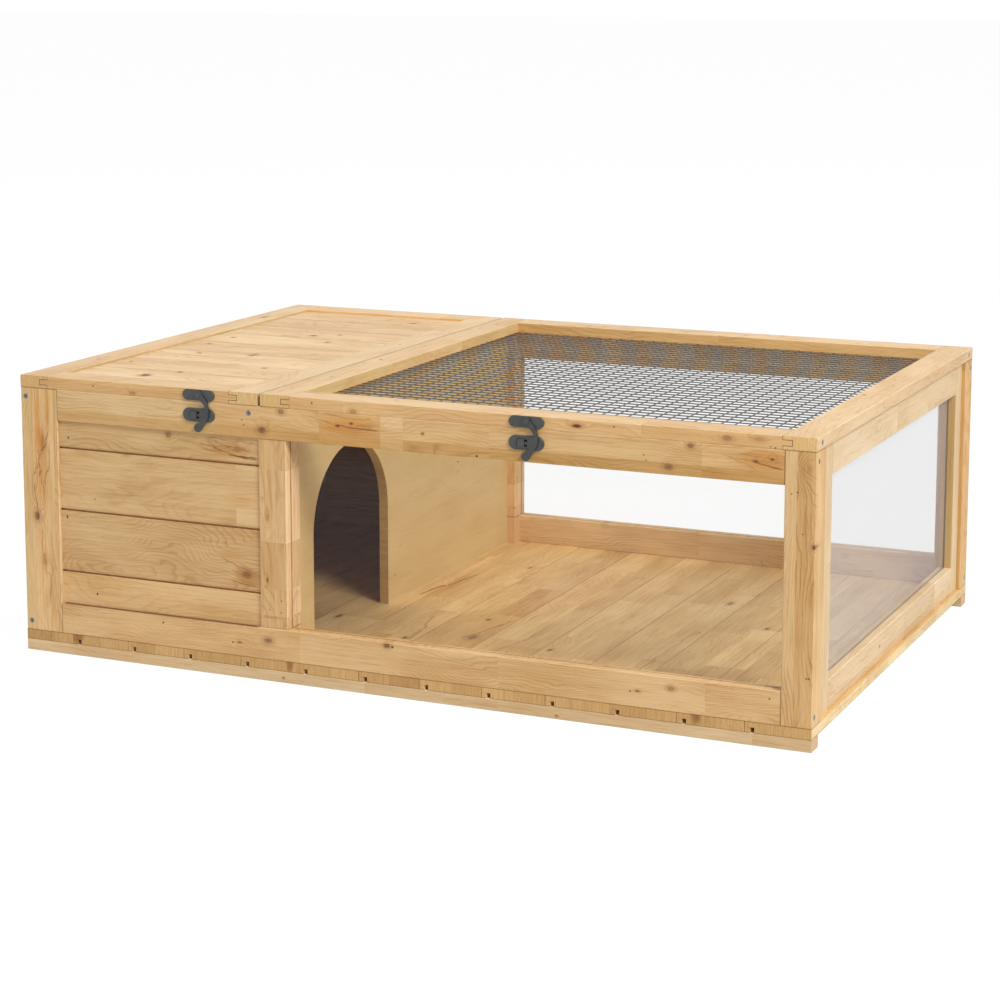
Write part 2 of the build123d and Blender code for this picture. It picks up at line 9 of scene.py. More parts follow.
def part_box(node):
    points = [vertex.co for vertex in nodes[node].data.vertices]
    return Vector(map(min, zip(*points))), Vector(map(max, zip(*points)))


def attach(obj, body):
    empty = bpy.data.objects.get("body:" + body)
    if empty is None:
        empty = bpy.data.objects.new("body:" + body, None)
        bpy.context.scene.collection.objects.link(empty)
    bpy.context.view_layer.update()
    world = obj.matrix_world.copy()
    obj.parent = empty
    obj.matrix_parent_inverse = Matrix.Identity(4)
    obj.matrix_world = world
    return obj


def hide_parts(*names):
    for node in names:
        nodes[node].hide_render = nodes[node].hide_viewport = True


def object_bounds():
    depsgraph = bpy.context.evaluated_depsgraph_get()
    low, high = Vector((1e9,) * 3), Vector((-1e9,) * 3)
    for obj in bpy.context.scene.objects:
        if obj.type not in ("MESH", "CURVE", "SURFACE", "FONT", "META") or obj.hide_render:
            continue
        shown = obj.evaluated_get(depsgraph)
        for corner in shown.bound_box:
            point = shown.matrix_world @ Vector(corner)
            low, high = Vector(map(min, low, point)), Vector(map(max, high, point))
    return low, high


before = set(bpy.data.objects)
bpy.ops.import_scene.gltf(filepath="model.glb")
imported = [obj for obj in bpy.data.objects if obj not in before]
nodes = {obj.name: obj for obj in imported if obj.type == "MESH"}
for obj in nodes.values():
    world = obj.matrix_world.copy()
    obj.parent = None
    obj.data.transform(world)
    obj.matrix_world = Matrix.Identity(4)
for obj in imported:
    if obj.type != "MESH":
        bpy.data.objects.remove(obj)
cad_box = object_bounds()
scene = bpy.context.scene
scene.view_settings.view_transform = "Standard"


# Camera: in front of the right-hand corner, at the height and lens that the edges of the box
# give. The picture's centre of projection lies above its middle, so the lens is shifted.
camera_spot = Vector((1.2264, -2.7780, 0.8240))
camera_right = Vector((0.91557, 0.40215, 0.00204)).normalized()
camera_back = Vector((0.39733, -0.90538, 0.14973)).normalized()
camera_lens = 88.14
camera_shift = (-0.0196, -0.1571)

camera = bpy.data.objects.new("camera", bpy.data.cameras.new("camera"))
scene.collection.objects.link(camera)
camera.data.lens = camera_lens
camera.data.shift_x, camera.data.shift_y = camera_shift
camera_turn = Matrix((camera_right, camera_back.cross(camera_right), camera_back)).transposed()
camera.matrix_world = Matrix.Translation(camera_spot) @ camera_turn.to_4x4()
scene.camera = camera


# Studio: a floor that runs out of sight and an even sky, both plain white to the camera, a large
# soft lamp from the right-hand front and a broad one overhead, both hidden from it.
sky_strength = 0.42
key_direction = Vector((0.66, -0.40, 0.64)).normalized()
key_distance = 9.0
key_size = 3.0
key_power = 540
top_spot = Vector((0, 0.4, 6.0))
top_size = 4.0
top_power = 90
floor_reach = 40
floor_cells = 8
floor_grey = (214, 214, 214)
white = (255, 255, 255)
floor_white = 0.88
floor_glow = 1.08


class Tone:
    """An output socket, so that sums over a surface read as plain sums."""

    def __init__(self, finish, socket):
        self.finish = finish
        self.socket = socket

    def maths(self, operation, *terms):
        return self.finish.node("ShaderNodeMath", {"operation": operation}, dict(enumerate(terms)))

    def __add__(self, other):
        return self.maths("ADD", self, other)

    def __sub__(self, other):
        return self.maths("SUBTRACT", self, other)

    def __rsub__(self, other):
        return self.maths("SUBTRACT", other, self)

    def __mul__(self, other):
        return self.maths("MULTIPLY", self, other)

    def __truediv__(self, other):
        return self.maths("DIVIDE", self, other)

    __radd__ = __add__

    def __abs__(self):
        return self.maths("ABSOLUTE", self)

    def lesser(self, other):
        return self.maths("MINIMUM", self, other)

    def greater(self, other):
        return self.maths("MAXIMUM", self, other)

    def part(self):
        return self.maths("FRACT", self)

    def smooth(self, zero, one):
        """From 0 at the first value to 1 at the second, with soft ends."""
        settings = {"interpolation_type": "SMOOTHSTEP"}
        return self.finish.node("ShaderNodeMapRange", settings, {0: self, 1: zero, 2: one})


class Finish:
    """A node tree that is filled node by node."""

    def __init__(self, tree):
        self.tree = tree

    def node(self, kind, settings, sockets, output=0):
        """One node: its settings first, then the values or the links of its sockets."""
        made = self.tree.nodes.new(kind)
        for name, value in settings.items():
            if name != "stops":
                setattr(made, name, value)
                continue
            ramp = made.color_ramp
            ramp.interpolation = value[0]
            while len(ramp.elements) < len(value[1]):
                ramp.elements.new(1)
            for element, (position, colour) in zip(ramp.elements, value[1]):
                element.position = position
                element.color = colour
        for name, value in sockets.items():
            if isinstance(value, Tone):
                self.tree.links.new(value.socket, made.inputs[name])
            else:
                made.inputs[name].default_value = value
        return Tone(self, made.outputs[output]) if made.outputs else None

    def vector(self, operation, *terms, output=0):
        return self.node("ShaderNodeVectorMath", {"operation": operation}, dict(enumerate(terms)), output)

    def blend(self, amount, first, second, mode="MIX"):
        """Two colours mixed by an amount from 0 to 1."""
        settings = {"data_type": "RGBA", "blend_type": mode}
        return self.node("ShaderNodeMix", settings, {0: amount, 6: first, 7: second}, output=2)

    def tint(self, colour, shares, amount=1.0):
        """A colour multiplied by a share for each channel, by an amount from 0 to 1."""
        return self.blend(amount, colour, (*shares, 1.0), "MULTIPLY")

    def share_from(self, place, centre, reach):
        """Distance from a centre, as a share of the reach along each axis."""
        gap = self.vector("SUBTRACT", place, centre)
        return self.vector("LENGTH", self.vector("DIVIDE", gap, reach), output=1)

    def parts_of(self, vector):
        """The three parts of a vector."""
        first = self.node("ShaderNodeSeparateXYZ", {}, {0: vector})
        return [Tone(self, output) for output in first.socket.node.outputs]

    def noise(self, place, scale, detail=2.0, roughness=0.5):
        """Cloudy variation about one half, over a place scaled along its three axes."""
        scaled = self.vector("MULTIPLY", place, scale)
        sockets = {"Vector": scaled, "Scale": 1.0, "Detail": detail, "Roughness": roughness}
        return self.node("ShaderNodeTexNoise", {}, sockets)


def paint(red, green, blue):
    """A colour as a picture shows it, from 0 to 255, as the shader takes it."""
    shares = [level / 255 for level in (red, green, blue)]
    return (*[s / 12.92 if s <= 0.04045 else ((s + 0.055) / 1.055) ** 2.4 for s in shares], 1.0)


def background_ray(finish):
    """1 where a ray comes straight from the camera, or by a mirror or a clear pane."""
    kinds = ("Is Camera Ray", "Is Glossy Ray", "Is Transmission Ray")
    direct, mirrored, through = [finish.node("ShaderNodeLightPath", {}, {}, kind) for kind in kinds]
    return direct.greater(mirrored).greater(through)


world = bpy.data.worlds.new("studio_sky")
world.use_nodes = True
world.node_tree.nodes.clear()
sky = Finish(world.node_tree)
seen = background_ray(sky)
strength = seen * (1 - sky_strength) + sky_strength
light = sky.node("ShaderNodeBackground", {}, {"Color": paint(*white), "Strength": strength})
sky.node("ShaderNodeOutputWorld", {}, {"Surface": light})
scene.world = world


def softbox(name, spot, target, size, power):
    """A square lamp that faces a point."""
    lamp = bpy.data.objects.new(name, bpy.data.lights.new(name, "AREA"))
    lamp.data.size = size
    lamp.data.energy = power
    lamp.location = spot
    lamp.rotation_euler = (target - spot).to_track_quat("-Z", "Y").to_euler()
    lamp.visible_camera = False
    scene.collection.objects.link(lamp)


house_middle = (cad_box[0] + cad_box[1]) / 2
softbox("key_lamp", house_middle + key_direction * key_distance, house_middle, key_size, key_power)
softbox("top_lamp", top_spot, house_middle, top_size, top_power)

sheet = bmesh.new()
bmesh.ops.create_grid(sheet, x_segments=floor_cells, y_segments=floor_cells, size=floor_reach)
floor_mesh = bpy.data.meshes.new("studio_floor")
sheet.to_mesh(floor_mesh)
sheet.free()
studio_floor = bpy.data.objects.new("studio_floor", floor_mesh)
scene.collection.objects.link(studio_floor)
floor_material = bpy.data.materials.new("studio_floor")
floor_material.use_nodes = True
floor_material.node_tree.nodes.clear()
ground = Finish(floor_material.node_tree)
matt = ground.node("ShaderNodeBsdfDiffuse", {}, {"Color": paint(*floor_grey)})
glow = ground.node("ShaderNodeEmission", {}, {"Color": paint(*white), "Strength": floor_glow})
cover = background_ray(ground) * floor_white
mixed = ground.node("ShaderNodeMixShader", {}, {0: cover, 1: matt, 2: glow})
ground.node("ShaderNodeOutputMaterial", {}, {"Surface": mixed})
floor_mesh.materials.append(floor_material)


# Base battens: two planed softwood strips below the front and the rear edge of the floor, glued
# from short lengths, pale and nearly free of knots.
metre = 1000
X, Y, Z = 0, 1, 2
floor_bottom, floor_top = [corner.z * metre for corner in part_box("floor_boards")]
batten_tones = (paint(236, 208, 166), paint(216, 178, 126))
batten_knots = [(-142, 6, 1.2, 1.6, 0.6), (205, 4, 1.4, 1.4, 0.5)]

# How closely each kind of variation follows the wood along, across and inward, per millimetre
wobble_scale = (0.0055, 0.012, 0.012)
ripple_scale = (0.02, 0.055, 0.055)
crumb_scale = (0.12, 0.35, 0.35)
streak_scale = (0.008, 0.3, 0.3)
fibre_scale = (0.03, 1.1, 1.1)
cloud_scale = (0.008, 0.025, 0.025)
pore_scale = (0.02, 0.75, 0.03)

# Late wood: its share from the inner to the outer edge of a ring, and its tint
late_wood = [(0.0, (0.1,) * 4), (0.5, (0.22,) * 4), (0.86, (1,) * 4), (1.0, (0.08,) * 4)]
late_tint = (0.72, 0.6, 0.5)
end_rib_tint = (0.8, 0.74, 0.66)
# Rubbed lighter and painted highlight along the arrises
wear_and_highlight_tint = (1.08, 1.16, 1.3)
fleck_brown = paint(158, 108, 60)
vein_and_shadow_brown = paint(112, 66, 34)
halo_brown = paint(164, 106, 58)
core_brown = paint(84, 52, 34)
pip_brown = paint(70, 42, 28)
glue_brown = paint(92, 58, 30)
# Painted shade along seams
seam_shade_brown = paint(110, 70, 36)
# Painted light for the shaded faces inside grooves
groove_painted_light = paint(236, 196, 140)
whole = (1.0, 1.0, 1.0)
block_hues = [whole, (1.03, 1.02, 1.0), (0.97, 0.94, 0.88), (1.0, 0.96, 0.92), (0.94, 0.9, 0.84)]
shortest_block = 140
longest_block = 330
log_shift = (830, 46, 12)
crack_depth = (7, 4)
stain_depth = 16
pip_depth = 10
glue_width = (0.85, 0.35)
wood_shine = 0.3
grain_relief = {"Strength": 0.4, "Distance": 0.0004}

# Rings: how far each variation bends them, and how strongly and where the late wood shows
wobble_bend, ripple_bend, crumb_bend = 9, 1.6, 1.1
late_least = 0.25
late_patches = (-0.14, 0.14)
late_strength = 0.46
late_limit = 0.8

# Tone between the rings, from pale at 0 to deep at 1, and what each variation adds to it
mean_tone = 0.42
tone_span = (-0.1, 1.1)
streak_weight, fibre_weight, crumb_weight, cloud_weight = 1.3, 1.1, 0.3, 1.3
fleck_span = (0.13, 0.26)
fleck_strength = 0.3
rib_span = (0.34, 0.74)
mark_strength = 0.85

# Knots: where swelling, halo and core start and end, in radii outside the rim
knot_spans = ((3.2, -0.6), (1.7, -0.5), (0.3, -0.6))
knot_depth = 14
swell_share = 2.2
swell_limit = 11.0
line_pitch = 2.6
out_of_reach = 40.0


def dress(name, material):
    """Gives a CAD node its material."""
    mesh = nodes[name].data
    mesh.materials.clear()
    mesh.materials.append(material)


def new_finish(name):
    """A material with one Principled shader, as its finish and that shader."""
    material = bpy.data.materials.new(name)
    material.use_nodes = True
    return material, Finish(material.node_tree), material.node_tree.nodes["Principled BSDF"]


def feed(finish, shader, name, tone):
    """Links a tone to a named input of a shader."""
    finish.tree.links.new(tone.socket, shader.inputs[name])


def glued_runs(seed, start, end):
    """Lengths of glued timber from one end to the other, each a little different in tone."""
    draw = random.Random(seed)
    runs = []
    while start < end:
        runs.append((start, draw.choice(block_hues)))
        start += draw.uniform(shortest_block, longest_block)
    return runs


def run_tones(wood, share, low, size, runs, draw):
    """The tint of the run at a place, and a number that gives each run its own part of the log."""
    stops = []
    for start, tint in runs:
        stops.append((min(max((start - low) / size, 0.0), 1.0), (*tint, draw.random())))
    ramp = wood.node("ShaderNodeValToRGB", {"stops": ("CONSTANT", stops)}, {0: share})
    return ramp, Tone(wood, ramp.socket.node.outputs["Alpha"])


def knot_tones(wood, spot, surface, knots):
    """How far the rings part round the knots, the distance to the nearest rim, halo and core."""
    swell, nearest, halo, core = 0.0, out_of_reach, 0.0, 0.0
    for along, across, radius, stretch, darkness in knots:
        reach = (radius * stretch, radius, knot_depth)
        rim = (wood.share_from(spot, (along, across, surface), reach) - 1) * radius
        spans = [(radius * start, radius * end) for start, end in knot_spans]
        swelling, ringed, filled = [rim.smooth(*span) for span in spans]
        swell = swelling * min(radius * swell_share, swell_limit) + swell
        nearest = rim.lesser(nearest)
        halo = (ringed * (0.3 + darkness * 0.5)).greater(halo)
        core = (filled * darkness).greater(core)
    return swell, nearest, halo, core


def pip_distance(wood, spot, surface, pips):
    """Distance to the rim of the nearest pip."""
    nearest = out_of_reach
    for along, across, radius, stretch in pips:
        reach = (stretch, 1, pip_depth)
        nearest = (wood.share_from(spot, (along, across, surface), reach) - radius).lesser(nearest)
    return nearest


def stained_and_shaded(wood, colour, spot, surface, ripple, stains_and_shade):
    """A colour with warm or dark patches: stained wood, and painted shade where a patch stands in for a
    shadow.
    """
    for along, across, half_length, half_width, tint in stains_and_shade:
        reach = (half_length, half_width, stain_depth)
        edge = wood.share_from(spot, (along, across, surface), reach) + ripple * 1.2
        colour = wood.tint(colour, tint, edge.smooth(1.15, 0.35))
    return colour


def cracked_and_shaded(wood, colour, along, sideways, shallow, swing, cracks_and_shadows):
    """A colour with splits, dark veins and painted shadow lines, which swing to and fro about a straight
    line.
    """
    for first_along, first_across, last_along, last_across, sway, half_width, darkness in cracks_and_shadows:
        slope = (last_across - first_across) / (last_along - first_along)
        line = (along - first_along) * slope + first_across + swing * sway
        middle = (first_along + last_along) / 2
        half_length = abs(last_along - first_along) / 2
        mask = abs(sideways - line).smooth(half_width, half_width * 0.15)
        mask = mask * (abs(along - middle) - half_length).smooth(3, -6) * shallow
        colour = wood.blend(mask * darkness, colour, vein_and_shadow_brown)
    return colour


def glue_line(along, sideways, root, tip, middle, half_height):
    """1 on the glue line round a tongue and down its shoulder."""
    beyond = (along - root) * (1 if tip > root else -1)
    length = abs(tip - root)
    off_middle = abs(sideways - middle)
    shoulder = abs(beyond).smooth(*glue_width) * off_middle.smooth(half_height - 0.3, half_height + 0.3)
    flank = abs(off_middle - half_height).smooth(*glue_width) * beyond.smooth(-0.8, 0.2)
    flank = flank * beyond.smooth(length + 0.7, length + 0.3)
    end = abs(beyond - length).smooth(*glue_width) * off_middle.smooth(half_height + 0.5, half_height)
    return shoulder.greater(flank).greater(end)


def timber(
    name,
    grain,
    across,
    face,
    tones,
    pith=(10, 38),
    ring=4.2,
    wander=7.0,
    figure=1.0,
    contrast=1.0,
    strips=None,
    blocks=None,
    stagger=0.0,
    knots=(),
    pips=(),
    cracks_and_shadows=(),
    stains_and_shade=(),
    fingers=(),
    seams=(),
    seam_reach=1.1,
    seam_shade=0.65,
    painted_light_faces=(),
    recess=None,
    end_tint=(0.97, 0.96, 0.93),
):
    """Softwood cut from a log: rings about a pith, fibres along the grain, glued blocks and knots.

    All in millimetres. Grain and across are axes, and face is 1 or -1 for the side of the third
    axis that the knots break through. Tones are the palest and the deepest tone between knots.
    The lists hold, from first to last:
    strips (across, tint), where a strip starts, and blocks (along, tint), where a block starts
    knots (along, across, radius, stretch, darkness) and pips (along, across, radius, stretch)
    cracks_and_shadows (along, across, along, across, sway, half width, darkness), splits, veins and painted
    shadow lines stains_and_shade (along, across, half length, half width, tint), stained patches and painted
    shade fingers (root, tip, middle, half height) of a glued tongue
    seams (axis, place, pitch or 0), painted shade lines where pieces meet
    painted_light_faces (axis, side, tint), painted light or shade: a tint on the faces that look one way.
    Recess is the face that the grooves go in from, and stagger sets the blocks of strips apart.
    """
    pale, deep = tones
    depth = 3 - grain - across
    low, high = [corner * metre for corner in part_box(name)]
    order = (grain, across, depth)
    low_at = [low[axis] for axis in order]
    high_at = [high[axis] for axis in order]
    size_at = [high_at[i] - low_at[i] for i in range(3)]
    surface = high_at[2] if face > 0 else low_at[2]
    draw = random.Random(name + "grain")

    material, wood, shader = new_finish(name)
    place = wood.node("ShaderNodeTexCoord", {}, {}, "Object")
    place = wood.node("ShaderNodeVectorMath", {"operation": "SCALE"}, {0: place, "Scale": metre})
    sides = wood.parts_of(place)
    turned = wood.parts_of(wood.node("ShaderNodeTexCoord", {}, {}, "Normal"))
    facing = [abs(side) for side in turned]
    along, sideways, inward = [sides[axis] for axis in order]
    spot = wood.node("ShaderNodeCombineXYZ", {}, {0: along, 1: sideways, 2: inward})

    # Glued strips and blocks: a tint and a fresh part of the log for each
    strips = strips or [(low_at[1], whole)]
    blocks = blocks or glued_runs(name, low_at[0], high_at[0])
    strip_share = (sideways - low_at[1]) / size_at[1]
    strip_tint, strip_shift = run_tones(wood, strip_share, low_at[1], size_at[1], strips, draw)
    block_share = (along - low_at[0]) / size_at[0]
    if stagger:
        block_share = (block_share + strip_shift * stagger).part()
    block_tint, block_shift = run_tones(wood, block_share, low_at[0], size_at[0], blocks, draw)
    shift = strip_shift + block_shift
    shifts = {axis: shift * step for axis, step in enumerate(log_shift)}
    cut = wood.vector("ADD", spot, wood.node("ShaderNodeCombineXYZ", {}, shifts))
    wobble = wood.noise(cut, wobble_scale, 1.0) - 0.5
    ripple = wood.noise(cut, ripple_scale, 1.0) - 0.5
    crumb = wood.noise(cut, crumb_scale, 2.0, 0.65) - 0.5
    streak = wood.noise(cut, streak_scale, 3.0, 0.62) - 0.5
    fibre = wood.noise(cut, fibre_scale, 2.0, 0.65) - 0.5
    cloud = wood.noise(cut, cloud_scale, 2.0) - 0.5

    # Growth rings, wandering along the trunk and round the knots, and the fibres between them
    swell, nearest, halo, core = knot_tones(wood, spot, surface, knots)
    centre = (0, (low_at[1] + high_at[1]) / 2 + pith[0], surface - face * pith[1])
    radial = wood.vector("MULTIPLY", wood.vector("SUBTRACT", cut, centre), (0.0, 1.0, 1.0))
    trunk = wood.vector("LENGTH", radial, output=1) + swell
    bent = trunk + wobble * (wander * wobble_bend) + ripple * (wander * ripple_bend)
    rings = (bent + crumb * crumb_bend) / ring
    late = wood.node("ShaderNodeValToRGB", {"stops": ("EASE", late_wood)}, {0: rings.part()}, "Alpha")
    late_share = late * (late_least + (cloud + ripple * 0.4).smooth(*late_patches) * (1 - late_least))
    fine = streak * streak_weight + fibre * fibre_weight + crumb * crumb_weight
    tone = mean_tone + fine * contrast + cloud * cloud_weight
    colour = wood.blend(tone.smooth(*tone_span), pale, deep)
    late_amount = (late_share * (late_strength * figure)).lesser(late_limit)
    colour = wood.blend(late_amount, colour, wood.tint(deep, late_tint))
    fleck = (fibre + streak * 0.5).smooth(*fleck_span) * (fleck_strength * contrast)
    colour = wood.blend(fleck, colour, fleck_brown)

    # Sawn ends have a tone of their own, and ribs instead of fibres
    pores = wood.noise(spot, pore_scale, 2.0, 0.75)
    end_pale = tuple(level * share for level, share in zip(deep, (*end_tint, 1.0)))
    end_deep = tuple(level * share for level, share in zip(end_pale, (*end_rib_tint, 1.0)))
    ribs = (pores + late_share * 0.12).smooth(*rib_span)
    colour = wood.blend(facing[grain].smooth(0.75, 0.9), colour, wood.blend(ribs, end_pale, end_deep))
    colour = wood.blend(1.0, colour, strip_tint, "MULTIPLY")
    colour = wood.blend(1.0, colour, block_tint, "MULTIPLY")

    colour = stained_and_shaded(wood, colour, spot, surface, ripple, stains_and_shade)
    swing = ripple + wobble * 2 + crumb * 0.3
    shallow = abs(inward - surface).smooth(*crack_depth)
    colour = cracked_and_shaded(wood, colour, along, sideways, shallow, swing, cracks_and_shadows)

    # Knot colours: brown lines close in on a broken dark core
    if knots:
        ragged = nearest + crumb * 3.0 + ripple * 2.0
        lines = (ragged / line_pitch).part().smooth(0.4, 0.95)
        halo = halo * (0.6 + lines * 0.5 + ripple * 1.5)
        colour = wood.blend(halo.lesser(0.9), colour, halo_brown)
        colour = wood.blend((core * (1.0 + crumb * 1.6)).lesser(0.95), colour, core_brown)
    if pips:
        ragged = pip_distance(wood, spot, surface, pips) + crumb
        colour = wood.blend(ragged.smooth(0.4, -0.4) * mark_strength, colour, pip_brown)
    for finger in fingers:
        glue = glue_line(along, sideways, *finger) * facing[depth].smooth(0.5, 0.7)
        colour = wood.blend(glue * mark_strength, colour, glue_brown)

    # Faces inside the grooves between boards are painted a pale tone, as painted light that lifts the shade
    # there
    if recess:
        inside = (inward * -face).smooth(recess * -face + 0.5, recess * -face + 1.0)
        colour = wood.blend(inside * mark_strength, colour, groove_painted_light)
    # Painted light and shade: faces that look one way are tinted lighter, darker or cooler, for how light
    # falls on them.
    for axis, side, tint in painted_light_faces:
        colour = wood.tint(colour, tint, (turned[axis] * side).smooth(0.6, 0.8))
    # Painted shade: a darker line along each seam, where pieces meet or boards lap.
    for axis, first, pitch in seams:
        away = sides[axis] - first
        if pitch:
            away = wood.node("ShaderNodeMath", {"operation": "PINGPONG"}, {0: away, 1: pitch / 2})
        shade = abs(away).smooth(seam_reach, 0.15) * facing[axis].smooth(0.6, 0.3)
        colour = wood.blend(shade * seam_shade, colour, seam_shade_brown)

    # The arrises are rubbed lighter, and lightened further as a painted highlight where a rounded edge would
    # catch the light
    side_gap = (sideways - low_at[1]).lesser(high_at[1] - sideways)
    depth_gap = (inward - low_at[2]).lesser(high_at[2] - inward)
    wear_and_highlight = side_gap.greater(depth_gap).smooth(1.5, 0.4) * (0.8 + cloud * 1.5)
    colour = wood.tint(colour, wear_and_highlight_tint, wear_and_highlight)

    feed(wood, shader, "Base Color", colour)
    feed(wood, shader, "Roughness", 0.52 + late_share * 0.12 + fibre * 0.16)
    shader.inputs["Specular IOR Level"].default_value = wood_shine
    bump = wood.node("ShaderNodeBump", {}, {**grain_relief, "Height": streak + fibre})
    feed(wood, shader, "Normal", bump)
    dress(name, material)


for wall, face in (("front", -1), ("rear", 1)):
    timber(
        f"base_batten_{wall}",
        X,
        Z,
        face,
        batten_tones,
        pith=(-20, 30),
        figure=0.5,
        knots=batten_knots,
        # painted shade line where the floor rests on the batten
        seams=[(Z, floor_bottom, 0)],
        end_tint=(1.17, 1.28, 1.6),
    )


# Floor: thirteen half-lapped boards of glued softwood that run from front to back. Their sawn
# ends, a little darker than their faces, show along the front under the rail.
floor_tones = (paint(237, 206, 148), paint(206, 166, 106))
floor_strips = [
    (-500, (0.9, 0.86, 0.8)),
    (-463.7, (1.04, 1.02, 0.99)),
    (-433, (0.97, 0.93, 0.88)),
    (-396, (1.05, 1.02, 0.98)),
    (-355, (0.92, 0.87, 0.8)),
    (-317.3, (1.06, 1.05, 1.02)),
    (-277, (1.0, 0.96, 0.91)),
    (-238, (0.93, 0.88, 0.8)),
    (-199, (1.03, 1.01, 0.98)),
    (-137.5, (1.05, 1.02, 0.98)),
    (-121, (0.98, 0.94, 0.88)),
    (-82, (1.05, 1.02, 0.97)),
    (-43, (0.95, 0.9, 0.82)),
    (-6.7, (0.89, 0.82, 0.73)),
    (35, (1.04, 1.0, 0.95)),
    (76, (0.94, 0.88, 0.79)),
    (113, (1.05, 1.02, 0.98)),
    (150, (0.98, 0.93, 0.86)),
    (191, (1.02, 0.98, 0.92)),
    (232, (1.06, 1.03, 0.99)),
    (269, (0.95, 0.9, 0.83)),
    (310, (1.03, 1.0, 0.95)),
    (362.7, (0.9, 0.85, 0.76)),
    (388, (1.02, 0.98, 0.93)),
    (425, (0.96, 0.92, 0.86)),
    (462, (1.05, 1.03, 0.99)),
]
floor_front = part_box("floor_boards")[0].y * metre
floor_blocks = [
    (floor_front, whole),
    (-160, (0.97, 0.93, 0.88)),
    (30, (1.03, 1.02, 1.0)),
    (205, (0.96, 0.92, 0.87)),
]
floor_knots = [
    (-137.8, -178.7, 3.0, 2.4, 0.7),
    (-194.8, -58.2, 2.6, 1.8, 0.8),
    (-161.3, 16.5, 5.0, 1.9, 0.55),
    (-78.3, -0.2, 2.4, 2.0, 0.8),
    (23.0, 330.3, 2.6, 2.4, 0.8),
    (-173.9, 123.9, 2.2, 2.0, 0.8),
    (120, 250, 3.4, 2.2, 0.6),
    (-20, 410, 3.0, 2.0, 0.6),
    (190, -60, 2.6, 2.2, 0.6),
]
floor_burls = [
    (floor_front, -425.5, 12, 8, (0.6, 0.46, 0.38)),
    (floor_front, -133.2, 12, 6, (0.62, 0.48, 0.38)),
    (floor_front, 370.0, 14, 8, (0.58, 0.44, 0.36)),
    (-60, 16.5, 160, 22, (0.95, 0.86, 0.74)),
    (60, -118, 90, 12, (0.88, 0.76, 0.62)),
]
floor_cracks = [
    (0, -134, 128, -108, 10, 2.6, 0.75),
    (-170, 2, -70, 26, 14, 2.0, 0.6),
    (-250, 60, -120, 84, 12, 1.6, 0.5),
    (-260, -40, -90, -62, 16, 1.8, 0.45),
    (-240, 250, -20, 262, 18, 1.8, 0.45),
]
floor_pitch = 78
floor_first_joint = -433
timber(
    "floor_boards",
    Y,
    X,
    1,
    floor_tones,
    pith=(0, 52),
    ring=5.2,
    wander=10,
    figure=0.55,
    contrast=0.8,
    strips=floor_strips,
    blocks=floor_blocks,
    stagger=1.0,
    knots=floor_knots,
    cracks_and_shadows=floor_cracks,
    stains_and_shade=floor_burls,
    seams=[(X, floor_first_joint, floor_pitch), (Z, floor_top, 0), (Z, floor_bottom, 0)],
    seam_reach=0.7,
    # Painted light on the floor's right-hand edge face
    painted_light_faces=[(X, 1, (1.12, 1.26, 1.55))],
    end_tint=(1.16, 1.24, 1.45),
)


# Stiles and posts of the long walls: glued from two or three strips or from short blocks, with
# the rails butted between them and screwed from the face or from the side.
# The side faces of the stiles and posts carry tints of painted light or painted shade.
frame_tones = (paint(236, 200, 148), paint(212, 168, 110))
wall_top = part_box("front_top_rail")[1].z * metre
top_rail_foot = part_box("front_top_rail")[0].z * metre
low_rail_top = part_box("front_bottom_rail")[1].z * metre
stile_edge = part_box("front_left_stile")[1].x * metre
post_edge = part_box("front_right_post")[0].x * metre
# Painted shade lines at the foot and the top of the wall pieces
wall_seams = [(Z, floor_top, 0), (Z, wall_top, 0)]
stile_strips = [(-500, (1.04, 1.04, 1.0)), (-484.4, (1.1, 1.09, 1.04)), (-454.4, (1.07, 1.07, 1.04))]
stile_knots = [(168.9, -480.8, 3.6, 1.5, 0.7), (262, -470, 3.4, 2.6, 0.2), (116, -472, 3.0, 2.6, 0.2)]
stile_cracks = [
    (276, -463, 217.2, -482.0, 16, 0.9, 0.7),
    (226, -482.5, 172, -481.5, 12, 0.9, 0.7),
    (262, -461, 206, -471, 16, 0.8, 0.5),
    (252, -476, 196, -473, 18, 0.8, 0.5),
    (160, -480, 92, -474, 16, 0.8, 0.4),
    (150, -466, 60, -470, 20, 0.8, 0.35),
]
stile_stains = [
    (300, -477, 40, 3.6, (0.92, 0.74, 0.55)),
    (306, -463, 36, 3.2, (0.9, 0.72, 0.54)),
    (262, -474, 16, 9, (0.98, 0.82, 0.68)),
    (225, -472, 60, 11, (0.97, 0.87, 0.76)),
    (120, -474, 50, 8, (1.0, 0.9, 0.82)),
]
stile_seams = [(X, stile_edge, 0)] + wall_seams
mid_blocks = [
    (26, (0.96, 0.92, 0.85)),
    (74.8, (0.93, 0.88, 0.8)),
    (78, (1.03, 1.01, 0.98)),
    (109.7, (0.96, 0.92, 0.85)),
    (166, (1.04, 1.02, 1.0)),
    (251.9, (0.96, 0.92, 0.85)),
]
mid_knots = [(197.1, -161.1, 2.0, 2.4, 0.1), (121.4, -162.3, 1.3, 2.4, 0.6)]
mid_pips = [(98, -144, 0.8, 1.1), (86, -160, 0.7, 1.1), (84, -144, 0.8, 1.1)]
mid_seams = [(Z, low_rail_top, 0), (Z, top_rail_foot, 0)]
post_strips = [(465, (1.02, 1.01, 0.99)), (478.6, (0.94, 0.87, 0.76))]
post_knots = [(308.5, 489, 3.0, 1.7, 0.0), (224.9, 498.3, 2.0, 1.3, 0.9)]
post_cracks = [
    (312, 479, 297, 500, 6, 0.9, 0.6),
    (305, 481, 279, 499, 10, 0.8, 0.5),
    (298, 483, 266, 499, 10, 0.7, 0.4),
    (290, 481, 240, 490, 12, 0.7, 0.3),
]
